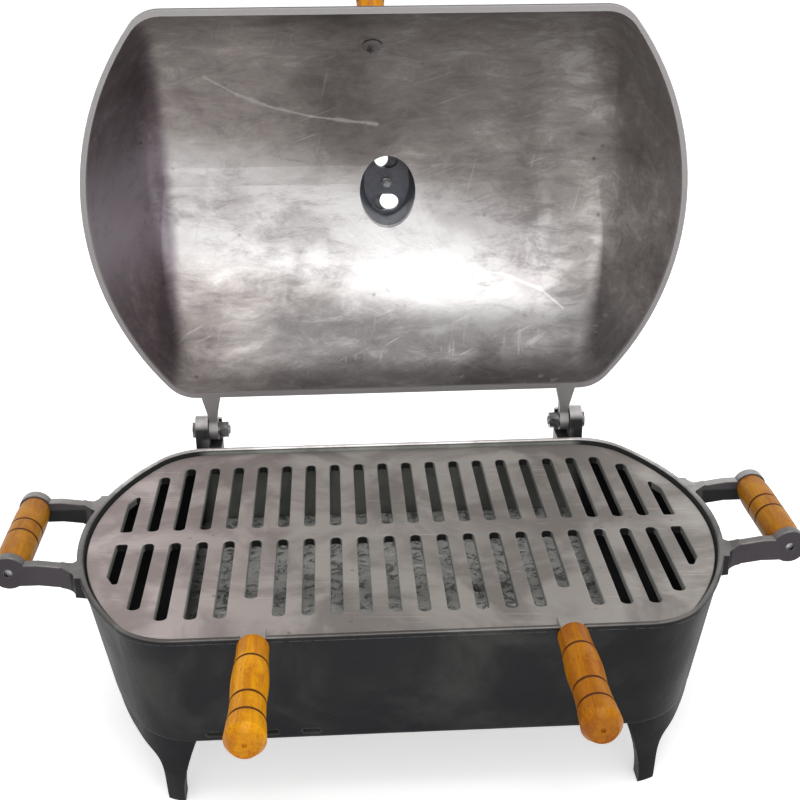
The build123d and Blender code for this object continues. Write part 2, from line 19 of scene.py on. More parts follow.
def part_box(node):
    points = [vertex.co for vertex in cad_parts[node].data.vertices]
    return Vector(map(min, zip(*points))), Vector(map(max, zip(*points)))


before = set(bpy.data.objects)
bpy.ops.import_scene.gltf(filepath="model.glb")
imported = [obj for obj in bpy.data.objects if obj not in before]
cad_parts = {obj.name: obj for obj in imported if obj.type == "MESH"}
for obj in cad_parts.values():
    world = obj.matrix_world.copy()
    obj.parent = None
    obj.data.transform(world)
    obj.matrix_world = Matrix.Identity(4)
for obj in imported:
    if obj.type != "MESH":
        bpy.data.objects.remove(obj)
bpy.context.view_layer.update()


def middle_of(node: str) -> Vector:
    """The middle of a CAD node's box."""
    low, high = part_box(node)
    return (low + high) / 2


TUB_MIDDLE_Y: float = middle_of("side_grip_rod_left").y
HINGE_PIN: Vector = middle_of("hinge_bolt_left")

Socket = bpy.types.NodeSocket
Feed = Socket | float | Sequence[float]
Colour = tuple[float, float, float]
Place = tuple[float, float, float]
Pair = tuple[float, float]

WHITE: Colour = (1.0, 1.0, 1.0)
CAST_SKIN: Colour = (0.014, 0.014, 0.016)
CAST_SKIN_PALE: Colour = (0.042, 0.043, 0.039)
ORIGIN: Place = (0.0, 0.0, 0.0)

log = logging.getLogger("grill")


class Sum(Enum):
    """The arithmetic that the finishes use between two values."""

    ADD = "ADD"
    TAKE = "SUBTRACT"
    TIMES = "MULTIPLY"
    OVER = "DIVIDE"
    MOST = "MAXIMUM"
    POWER = "POWER"
    SINE = "SINE"
    SIZE = "ABSOLUTE"
    ROOT = "SQRT"


class VectorSum(Enum):
    """The arithmetic that the finishes use between two places or directions."""

    LESS = "SUBTRACT"
    TIMES = "MULTIPLY"
    DOT = "DOT_PRODUCT"
    GAP = "DISTANCE"


class Way(Enum):
    """The kinds of socket that an effect takes and gives."""

    VALUE = "NodeSocketFloat"
    VECTOR = "NodeSocketVector"


Inputs = dict[str, tuple[Way, float | Sequence[float]]]


class Bench:
    """A node tree, with a short call for each kind of node that the finishes use."""

    def __init__(self, tree: bpy.types.NodeTree) -> None:
        """Takes the tree to work in.

        Args:
            tree: a material's, world's or group's node tree.
        """
        self.tree = tree

    def add(
        self, kind: str, feeds: Mapping[str | int, Feed] | None = None, **settings: object
    ) -> bpy.types.Node:
        """Adds a node.

        Args:
            kind: the node's Blender type name.
            feeds: a value, colour or socket for each named or numbered input.
            **settings: the node's own settings.

        Returns:
            The new node.
        """
        node = self.tree.nodes.new(kind)
        for name, setting in settings.items():
            setattr(node, name, setting)
        for name, feed in (feeds or {}).items():
            self.feed(node.inputs[name], feed)
        return node

    def feed(self, entry: Socket, feed: Feed) -> None:
        """Links a socket to an input, or sets the input to a plain value.

        Args:
            entry: the input.
            feed: what goes into it.
        """
        if isinstance(feed, bpy.types.NodeSocket):
            self.tree.links.new(feed, entry)
        elif entry.type == "RGBA" and len(feed) == 3:
            entry.default_value = (*feed, 1.0)
        else:
            entry.default_value = feed

    def work(self, sum_: Sum, first: Feed, second: Feed = 0.0, clamp: bool = False) -> Socket:
        """Works out one value from two.

        Args:
            sum_: the arithmetic.
            first: the first value.
            second: the second value.
            clamp: whether the result is kept from 0 to 1.

        Returns:
            The result.
        """
        node = self.add("ShaderNodeMath", {0: first, 1: second}, operation=sum_.value, use_clamp=clamp)
        return node.outputs[0]

    def times(self, first: Feed, second: Feed) -> Socket:
        """The product of two values."""
        return self.work(Sum.TIMES, first, second)

    def vectors(self, sum_: VectorSum, first: Feed, second: Feed) -> Socket:
        """Works out a place, a direction or a measure from two places or directions.

        Args:
            sum_: the arithmetic.
            first: the first place or direction.
            second: the second place or direction.

        Returns:
            The result, which is a plain value for DOT and GAP.
        """
        node = self.add("ShaderNodeVectorMath", {0: first, 1: second}, operation=sum_.value)
        return node.outputs["Value" if sum_ in (VectorSum.DOT, VectorSum.GAP) else "Vector"]

    def turn(self, place: Feed, angle: Feed, about: str, centre: Place = ORIGIN) -> Socket:
        """Turns a place or a direction about one axis.

        Args:
            place: what is turned.
            angle: how far, in radians.
            about: the axis, as X_AXIS or Z_AXIS.
            centre: a point on the axis.

        Returns:
            The turned place or direction.
        """
        feeds = {"Vector": place, "Center": centre, "Angle": angle}
        return self.add("ShaderNodeVectorRotate", feeds, rotation_type=about).outputs["Vector"]

    def mix(self, way: str, share: Feed, first: Feed, second: Feed) -> Socket:
        """Lays one colour over another.

        Args:
            way: Blender's name for the way of mixing.
            share: how strongly the second colour works, from 0 to 1.
            first: the colour at 0.
            second: the colour that is laid over it.

        Returns:
            The mixed colour.
        """
        node = self.add("ShaderNodeMix", data_type="RGBA", blend_type=way, clamp_factor=True)
        for entry, feed in zip((0, 6, 7), (share, first, second)):
            self.feed(node.inputs[entry], feed)
        return node.outputs[2]

    def blend(self, share: Feed, first: Feed, second: Feed) -> Socket:
        """Goes from the first colour to the second as the share goes from 0 to 1."""
        return self.mix("MIX", share, first, second)

    def tint(self, share: Feed, first: Feed, second: Feed) -> Socket:
        """Multiplies the first colour by the second, as strongly as the share says."""
        return self.mix("MULTIPLY", share, first, second)

    def level(self, share: Feed, first: Feed, second: Feed) -> Socket:
        """Mixes two plain values.

        Args:
            share: how much of the second value shows, from 0 to 1.
            first: the value at 0.
            second: the value at 1.

        Returns:
            The mixed value.
        """
        node = self.add("ShaderNodeMix", data_type="FLOAT", clamp_factor=True)
        self.feed(node.inputs[0], share)
        self.feed(node.inputs[2], first)
        self.feed(node.inputs[3], second)
        return node.outputs[0]

    def span(self, value: Feed, low: float, high: float, start: float = 0.0, end: float = 1.0) -> Socket:
        """Eases a value from one range into another.

        Args:
            value: what is mapped.
            low: where the result is start.
            high: where the result is end.
            start: the result up to low.
            end: the result from high on.

        Returns:
            The mapped value.
        """
        feeds = {"Value": value, "From Min": low, "From Max": high, "To Min": start, "To Max": end}
        node = self.add("ShaderNodeMapRange", feeds, interpolation_type="SMOOTHSTEP")
        return node.outputs["Result"]

    def cloud(
        self, place: Feed, scale: Feed, detail: float = 2.0, roughness: float = 0.5, distortion: float = 0.0
    ) -> Socket:
        """Soft noise.

        Args:
            place: where it is looked up.
            scale: how many features there are to the metre.
            detail: how many finer layers it has.
            roughness: how strong the finer layers are.
            distortion: how far it swirls.

        Returns:
            Its value, around 0.5.
        """
        feeds = {"Vector": place, "Scale": scale, "Detail": detail, "Roughness": roughness}
        return self.add("ShaderNodeTexNoise", {**feeds, "Distortion": distortion}).outputs["Fac"]

    def cells(self, place: Feed, scale: Feed) -> Socket:
        """Distance to the nearest of many scattered points.

        Args:
            place: where it is looked up.
            scale: how many points there are to the metre.

        Returns:
            The distance, 0 at a point.
        """
        feeds = {"Vector": place, "Scale": scale, "Randomness": 1.0}
        return self.add("ShaderNodeTexVoronoi", feeds).outputs["Distance"]

    def stretch(self, place: Feed, scale: Sequence[float], turn: Sequence[float] = (0, 0, 0)) -> Socket:
        """Scales and turns a place, for a pattern that is longer one way than the other.

        Args:
            place: the place.
            scale: the scale along each axis.
            turn: the turn about each axis, in radians.

        Returns:
            The new place.
        """
        feeds = {"Vector": place, "Scale": scale, "Rotation": turn}
        return self.add("ShaderNodeMapping", feeds, vector_type="POINT").outputs["Vector"]

    def split(self, place: Feed) -> tuple[Socket, Socket, Socket]:
        """The three parts of a place or a direction."""
        node = self.add("ShaderNodeSeparateXYZ", {"Vector": place})
        return node.outputs["X"], node.outputs["Y"], node.outputs["Z"]

    def join(self, x: Feed, y: Feed, z: Feed) -> Socket:
        """A place from its three parts."""
        return self.add("ShaderNodeCombineXYZ", {"X": x, "Y": y, "Z": z}).outputs["Vector"]


@dataclass(frozen=True)
class Effect:
    """A pattern that more than one finish uses, kept as one shader node group."""

    name: str = "effect"

    def takes(self) -> Inputs:
        """The group's inputs, each with its kind and its usual value."""
        return {}

    def gives(self) -> dict[str, Way]:
        """The group's outputs, each with its kind."""
        return {}

    def draw(self, bench: Bench, given: Mapping[str, Socket]) -> dict[str, Socket]:
        """Draws the nodes inside the group.

        Args:
            bench: the group's tree.
            given: the group's inputs, from the inside.

        Returns:
            What goes to each of the group's outputs.
        """
        raise NotImplementedError

    def tree(self) -> bpy.types.NodeTree:
        """The group, which is built the first time that it is asked for."""
        made = bpy.data.node_groups.get(self.name)
        if made:
            return made
        made = bpy.data.node_groups.new(self.name, "ShaderNodeTree")
        for name, (way, usual) in self.takes().items():
            socket = made.interface.new_socket(name=name, in_out="INPUT", socket_type=way.value)
            socket.default_value = usual
        for name, way in self.gives().items():
            made.interface.new_socket(name=name, in_out="OUTPUT", socket_type=way.value)
        bench = Bench(made)
        entry = made.nodes.new("NodeGroupInput")
        leave = made.nodes.new("NodeGroupOutput")
        drawn = self.draw(bench, {name: entry.outputs[name] for name in self.takes()})
        for name, socket in drawn.items():
            made.links.new(socket, leave.inputs[name])
        return made

    def on(self, bench: Bench, **feeds: Feed) -> dict[str, Socket]:
        """Places the group in a material.

        Args:
            bench: the material's tree.
            **feeds: a value or socket for each input, with _ for each space in its name.

        Returns:
            The group's outputs.
        """
        node = bench.tree.nodes.new("ShaderNodeGroup")
        node.node_tree = self.tree()
        for name, feed in feeds.items():
            bench.feed(node.inputs[name.replace("_", " ")], feed)
        return {name: node.outputs[name] for name in self.gives()}


@dataclass(frozen=True)
class SandGrain(Effect):
    """The skin that a sand mould leaves: fine grain, small pits and broad unevenness."""

    name: str = "sand_grain"
    lumps_per_grain: float = 0.13
    swells_per_grain: float = 0.02
    pits_per_grain: float = 0.22
    patches_per_grain: float = 0.05
    pit_edge: Pair = (0.05, 0.2)
    pitted_patches: Pair = (0.5, 0.62)
    fine_height: float = 0.5
    lump_height: float = 0.9
    pit_depth: float = 0.8
    fine_tone: float = 0.35
    swell_tone: float = 0.65

    def takes(self) -> Inputs:
        """Where it is looked up, and how many grains there are to the metre."""
        return {"Place": (Way.VECTOR, ORIGIN), "Grains": (Way.VALUE, 900.0)}

    def gives(self) -> dict[str, Way]:
        """Height for a bump, and a tone from 0 to 1 for colour."""
        return {"Height": Way.VALUE, "Tone": Way.VALUE}

    def draw(self, bench: Bench, given: Mapping[str, Socket]) -> dict[str, Socket]:
        """Layers three sizes of noise and a scatter of pits.

        Args:
            bench: the group's tree.
            given: the group's inputs.

        Returns:
            The height and the tone.
        """
        place, grains = given["Place"], given["Grains"]
        fine = bench.cloud(place, grains, detail=3.0, roughness=0.65)
        lumps = bench.cloud(place, bench.times(grains, self.lumps_per_grain), detail=2.0, roughness=0.6)
        swells = bench.cloud(place, bench.times(grains, self.swells_per_grain), detail=3.0, roughness=0.55)
        near = bench.cells(place, bench.times(grains, self.pits_per_grain))
        patchy = bench.cloud(place, bench.times(grains, self.patches_per_grain), detail=1.0)
        pits = bench.work(
            Sum.TIMES,
            bench.span(near, *self.pit_edge, start=1.0, end=0.0),
            bench.span(patchy, *self.pitted_patches),
            clamp=True,
        )
        height = bench.work(
            Sum.ADD, bench.times(fine, self.fine_height), bench.times(lumps, self.lump_height)
        )
        height = bench.work(Sum.TAKE, height, bench.times(pits, self.pit_depth))
        tone = bench.work(Sum.ADD, bench.times(fine, self.fine_tone), bench.times(swells, self.swell_tone))
        return {"Height": height, "Tone": tone}


@dataclass(frozen=True)
class WornEdge(Effect):
    """Where hands and other parts have rubbed the corners."""

    name: str = "worn_edge"
    breaks: float = 160.0
    corner: Pair = (0.02, 0.16)
    broken: Pair = (0.32, 0.58)

    def takes(self) -> Inputs:
        """Where it is looked up, and how wide the wear is."""
        return {"Place": (Way.VECTOR, ORIGIN), "Width": (Way.VALUE, 0.0015)}

    def gives(self) -> dict[str, Way]:
        """How worn the surface is, from 0 to 1."""
        return {"Wear": Way.VALUE}

    def draw(self, bench: Bench, given: Mapping[str, Socket]) -> dict[str, Socket]:
        """Compares the surface's own direction with one rounded over its corners.

        Args:
            bench: the group's tree.
            given: the group's inputs.

        Returns:
            The wear.
        """
        rounded = bench.add("ShaderNodeBevel", {"Radius": given["Width"]}, samples=4).outputs["Normal"]
        plain = bench.add("ShaderNodeNewGeometry").outputs["Normal"]
        alike = bench.vectors(VectorSum.DOT, rounded, plain)
        breaks = bench.cloud(given["Place"], self.breaks, detail=3.0, roughness=0.7)
        edge = bench.span(bench.work(Sum.TAKE, 1.0, alike), *self.corner)
        return {"Wear": bench.work(Sum.TIMES, edge, bench.span(breaks, *self.broken), clamp=True)}


@dataclass(frozen=True)
class HairScratches(Effect):
    """Fine lines left by grinding and wire brushing, in one direction across X and Y."""

    name: str = "hair_scratches"
    drawn_out: float = 0.03
    long_drawn_out: float = 0.012
    long_upright: float = 0.2
    long_per_line: float = 0.45
    long_edge: Pair = (0.64, 0.72)
    rubbed_places: float = 26.0
    rubbed_edge: Pair = (0.5, 0.64)

    def takes(self) -> Inputs:
        """The place, the lines' direction in radians, and how many there are to the metre across them."""
        return {
            "Place": (Way.VECTOR, ORIGIN),
            "Turn": (Way.VALUE, 0.0),
            "Lines": (Way.VALUE, 700.0),
        }

    def gives(self) -> dict[str, Way]:
        """Height for a bump, and the few long lines that catch the light."""
        return {"Height": Way.VALUE, "Bright": Way.VALUE}

    def draw(self, bench: Bench, given: Mapping[str, Socket]) -> dict[str, Socket]:
        """Stretches noise a long way along the lines.

        Args:
            bench: the group's tree.
            given: the group's inputs.

        Returns:
            The height and the bright lines.
        """
        along, across, up = bench.split(bench.turn(given["Place"], given["Turn"], "Z_AXIS"))
        drawn = bench.join(bench.times(along, self.drawn_out), across, up)
        fine = bench.cloud(drawn, given["Lines"], detail=3.0, roughness=0.7)
        long = bench.join(bench.times(along, self.long_drawn_out), across, bench.times(up, self.long_upright))
        few = bench.cloud(long, bench.times(given["Lines"], self.long_per_line), detail=1.0)
        rubbed = bench.cloud(given["Place"], self.rubbed_places, detail=2.0)
        bright = bench.work(
            Sum.TIMES, bench.span(few, *self.long_edge), bench.span(rubbed, *self.rubbed_edge), clamp=True
        )
        return {"Height": fine, "Bright": bright}


@dataclass(frozen=True)
class Smudges(Effect):
    """Soft patches of soot, grease and handling, in two sizes."""

    name: str = "smudges"
    spots_per_patch: float = 5.5
    places_per_patch: float = 2.1
    spot_edge: Pair = (0.03, 0.16)
    spotted_places: Pair = (0.54, 0.66)

    def takes(self) -> Inputs:
        """The place, and how many patches there are to the metre."""
        return {"Place": (Way.VECTOR, ORIGIN), "Patches": (Way.VALUE, 12.0)}

    def gives(self) -> dict[str, Way]:
        """The large patches and the small spots."""
        return {"Broad": Way.VALUE, "Spots": Way.VALUE}

    def draw(self, bench: Bench, given: Mapping[str, Socket]) -> dict[str, Socket]:
        """Draws swirled noise for the patches and broken cells for the spots.

        Args:
            bench: the group's tree.
            given: the group's inputs.

        Returns:
            The patches and the spots.
        """
        place, patches = given["Place"], given["Patches"]
        broad = bench.cloud(place, patches, detail=5.0, roughness=0.58, distortion=0.6)
        near = bench.cells(place, bench.times(patches, self.spots_per_patch))
        some = bench.cloud(place, bench.times(patches, self.places_per_patch), detail=1.0)
        spots = bench.work(
            Sum.TIMES,
            bench.span(near, *self.spot_edge, start=1.0, end=0.0),
            bench.span(some, *self.spotted_places),
            clamp=True,
        )
        return {"Broad": broad, "Spots": spots}


@dataclass(frozen=True)
class Stroke(Effect):
    """One straight rub or run across the casting, tapered at its ends."""

    name: str = "stroke"
    flattened: Place = (1.0, 1.0, 0.0)
    wander: float = 45.0
    wander_edge: Pair = (0.3, 0.7)
    narrow_to_wide: Pair = (0.4, 1.5)

    def takes(self) -> Inputs:
        """The place, the stroke's two ends, and its half width."""
        return {
            "Place": (Way.VECTOR, ORIGIN),
            "Start": (Way.VECTOR, ORIGIN),
            "End": (Way.VECTOR, (0.1, 0.0, 0.0)),
            "Half": (Way.VALUE, 0.002),
        }

    def gives(self) -> dict[str, Way]:
        """How strongly the stroke shows, from 0 to 1."""
        return {"Mark": Way.VALUE}

    def draw(self, bench: Bench, given: Mapping[str, Socket]) -> dict[str, Socket]:
        """Measures the distance from the line between the two ends.

        Args:
            bench: the group's tree.
            given: the group's inputs.

        Returns:
            The stroke.
        """
        flat = bench.vectors(VectorSum.TIMES, given["Place"], self.flattened)
        reach = bench.vectors(VectorSum.LESS, flat, given["Start"])
        run = bench.vectors(VectorSum.LESS, given["End"], given["Start"])
        along = bench.vectors(VectorSum.DOT, reach, run)
        part = bench.work(Sum.OVER, along, bench.vectors(VectorSum.DOT, run, run), clamp=True)
        nearest = bench.add("ShaderNodeVectorMath", {0: run, "Scale": part}, operation="SCALE").outputs[0]
        gap = bench.vectors(VectorSum.GAP, reach, nearest)
        wander = bench.cloud(given["Place"], self.wander, detail=3.0, roughness=0.6)
        ragged = bench.times(given["Half"], bench.span(wander, *self.wander_edge, *self.narrow_to_wide))
        share = bench.work(Sum.OVER, gap, ragged)
        return {"Mark": bench.span(share, 0.0, 1.0, start=1.0, end=0.0)}


GRAIN = SandGrain()
WEAR = WornEdge()
SCRATCH = HairScratches()
SMUDGE = Smudges()
STROKE = Stroke()


@dataclass(frozen=True)
class Finish:
    """A material for one kind of surface, named as the maker would name it."""

    name: str

    def dress(self, bench: Bench, shader: bpy.types.Node) -> None:
        """Draws the nodes that feed the shader.

        Args:
            bench: the material's tree.
            shader: its Principled BSDF.
        """
        raise NotImplementedError

    def material(self) -> bpy.types.Material:
        """The material, which is built the first time that it is asked for."""
        made = bpy.data.materials.get(self.name)
        if made:
            return made
        made = bpy.data.materials.new(self.name)
        made.use_nodes = True
        made.node_tree.nodes.clear()
        bench = Bench(made.node_tree)
        shader = bench.add("ShaderNodeBsdfPrincipled")
        out = bench.add("ShaderNodeOutputMaterial")
        bench.feed(out.inputs["Surface"], shader.outputs["BSDF"])
        self.dress(bench, shader)
        return made

    def place(self, bench: Bench) -> tuple[Socket, Socket]:
        """The place on the piece in the frame's axes, and the surface's direction there."""
        node = bench.add("ShaderNodeTexCoord")
        return node.outputs["Object"], node.outputs["Normal"]

    def bump(self, bench: Bench, shader: bpy.types.Node, *layers: tuple[Feed, float, float]) -> None:
        """Raises the surface by layers of height.

        Args:
            bench: the material's tree.
            shader: its Principled BSDF.
            *layers: a height, its depth in metres and its strength, from the broadest to the finest.
        """
        last = None
        for height, depth, strength in layers:
            feeds = {"Height": height, "Distance": depth, "Strength": strength}
            if last:
                feeds["Normal"] = last
            last = bench.add("ShaderNodeBump", feeds).outputs["Normal"]
        bench.feed(shader.inputs["Normal"], last)


@dataclass(frozen=True)
class TubCasting(Finish):
    """The tub: dark sand-cast skin outside, ground rim, sooty and heat-stained inside, with painted light on
    the rim and the arms' tops and painted shade low down and on the right.
    """

    name: str = "tub_casting"
    skin: Colour = CAST_SKIN
    skin_pale: Colour = CAST_SKIN_PALE
    grain_shade: Colour = (0.62, 0.62, 0.66)
    painted_shade_right: Colour = (0.5, 0.5, 0.52)
    painted_low_shade: Colour = (0.62, 0.62, 0.68)
    worn: Colour = (0.20, 0.19, 0.19)
    rim: Colour = (0.15, 0.142, 0.135)
    painted_highlight_rim_back: Colour = (0.70, 0.68, 0.67)
    rim_shade: Colour = (0.6, 0.58, 0.57)
    soot: Colour = (0.006, 0.006, 0.007)
    stained: Colour = (0.17, 0.18, 0.16)
    stained_pale: Colour = (0.30, 0.305, 0.28)
    arm: Colour = (0.060, 0.053, 0.058)
    painted_light_arm_top: Colour = (0.19, 0.175, 0.19)
    arm_shade: Colour = (0.66, 0.64, 0.66)
    half_length: float = 0.2420
    half_width: float = 0.1601
    facing_in: Pair = (0.3, 1.2)
    above_floor: Pair = (0.055, 0.056)
    floor_facing: Pair = (0.6, 0.9)
    floor_height: Pair = (0.066, 0.071)
    sooty_end: Pair = (0.163, 0.178)
    soot_wander: float = 0.02
    upward: Pair = (0.4, 0.9)
    pale_patches: Pair = (0.42, 0.72)
    dark_grain: Pair = (0.6, 0.35)
    arm_dark_grain: Pair = (0.62, 0.38)
    right_side: Pair = (0.06, 0.17)
    low_down: Pair = (0.115, 0.045)
    beyond_rim: Pair = (0.2395, 0.2415)
    behind_rim: Pair = (0.1605, 0.1625)
    rim_height: Pair = (0.1385, 0.1405)
    rim_facing: Pair = (0.3, 0.75)
    rim_front_to_back: Pair = (-0.02, 0.15)
    rim_patches: Pair = (0.56, 0.40)
    stain_patches: Pair = (0.35, 0.65)
    under_rim: Pair = (0.139, 0.1415)
    wear_share: float = 0.4
    rim_share: float = 0.9
    tone: Pair = (0.3, 0.7)
    skin_roughness: Pair = (0.50, 0.66)
    rubbed_roughness: float = 0.34
    soot_roughness: float = 0.92
    metallic: float = 0.72

    def inside(self, bench: Bench, place: Socket, facing: Socket) -> Socket:
        """Where the surface is the inside of the tub.

        Args:
            bench: the material's tree.
            place: the place on the tub.
            facing: the surface's direction.

        Returns:
            1 on the inner walls and the floor, and 0 elsewhere.
        """
        x, y, z = bench.split(place)
        _, _, up = bench.split(facing)
        to_middle = bench.join(
            bench.times(x, -1.0 / self.half_length ** 2),
            bench.times(bench.work(Sum.TAKE, y, TUB_MIDDLE_Y), -1.0 / self.half_width ** 2),
            0.0,
        )
        inward = bench.vectors(VectorSum.DOT, to_middle, facing)
        floor = bench.times(
            bench.span(up, *self.floor_facing), bench.span(z, *self.floor_height, start=1.0, end=0.0)
        )
        walls = bench.times(bench.span(inward, *self.facing_in), bench.span(z, *self.above_floor))
        return bench.work(Sum.MOST, floor, walls, clamp=True)

    def dress(self, bench: Bench, shader: bpy.types.Node) -> None:
        """Mixes the outside skin, the ground rim and the burnt inside by place and direction, and paints
        light and shade into the skin and the rim.

        Args:
            bench: the material's tree.
            shader: its Principled BSDF.
        """
        place, facing = self.place(bench)
        x, y, z = bench.split(place)
        _, _, up = bench.split(facing)
        length = bench.work(Sum.SIZE, x)
        back = bench.work(Sum.TAKE, y, TUB_MIDDLE_Y)
        grain = GRAIN.on(bench, Place=place, Grains=900.0)
        smudge = SMUDGE.on(bench, Place=place, Patches=14.0)
        wear = WEAR.on(bench, Place=place, Width=0.0016)["Wear"]
        scratch = SCRATCH.on(bench, Place=place, Turn=0.1, Lines=900.0)

        inside = self.inside(bench, place, facing)
        ragged_length = bench.work(Sum.ADD, length, bench.times(smudge["Broad"], self.soot_wander))
        sooty_end = bench.span(ragged_length, *self.sooty_end)
        upward = bench.span(up, *self.upward)

        skin = bench.blend(bench.span(smudge["Broad"], *self.pale_patches), self.skin, self.skin_pale)
        skin = bench.tint(bench.span(grain["Tone"], *self.dark_grain), skin, self.grain_shade)
        # Painted shade: the right side of the skin is darkened.
        skin = bench.tint(bench.span(x, *self.right_side), skin, self.painted_shade_right)
        # Painted shade: the skin darkens towards the bottom.
        skin = bench.tint(bench.span(z, *self.low_down), skin, self.painted_low_shade)
        # Painted light: the arms' upward faces are coloured lighter, as lit from above.
        arm = bench.blend(upward, self.arm, self.painted_light_arm_top)
        arm = bench.tint(bench.span(grain["Tone"], *self.arm_dark_grain), arm, self.arm_shade)
        skin = bench.blend(bench.span(length, *self.beyond_rim), skin, arm)
        skin = bench.blend(bench.times(bench.span(back, *self.behind_rim), upward), skin, self.arm)
        skin = bench.blend(bench.times(wear, self.wear_share), skin, self.worn)

        # The rim's upward face is ground metal, and it is also painted lighter where it faces up, as painted
        # light; towards the back it turns to a painted highlight.
        on_rim = bench.times(bench.span(z, *self.rim_height), bench.span(up, *self.rim_facing))
        rim = bench.blend(bench.span(back, *self.rim_front_to_back), self.rim, self.painted_highlight_rim_back)
        rim = bench.tint(bench.span(smudge["Broad"], *self.rim_patches), rim, self.rim_shade)
        skin = bench.blend(bench.times(on_rim, self.rim_share), skin, rim)

        burnt = bench.blend(bench.span(smudge["Broad"], *self.stain_patches), self.stained, self.stained_pale)
        burnt = bench.blend(sooty_end, burnt, self.soot)
        under_rim = bench.span(z, *self.under_rim, start=1.0, end=0.0)
        bench.feed(shader.inputs["Base Color"], bench.blend(bench.times(inside, under_rim), skin, burnt))

        sooty = bench.times(inside, sooty_end)
        rough = bench.span(grain["Tone"], *self.tone, *self.skin_roughness)
        rough = bench.level(bench.work(Sum.MOST, wear, on_rim), rough, self.rubbed_roughness)
        bench.feed(shader.inputs["Roughness"], bench.level(sooty, rough, self.soot_roughness))
        bench.feed(shader.inputs["Metallic"], bench.level(sooty, self.metallic, 0.0))
        self.bump(bench, shader, (grain["Height"], 0.0006, 0.55), (scratch["Height"], 0.0001, 0.25))


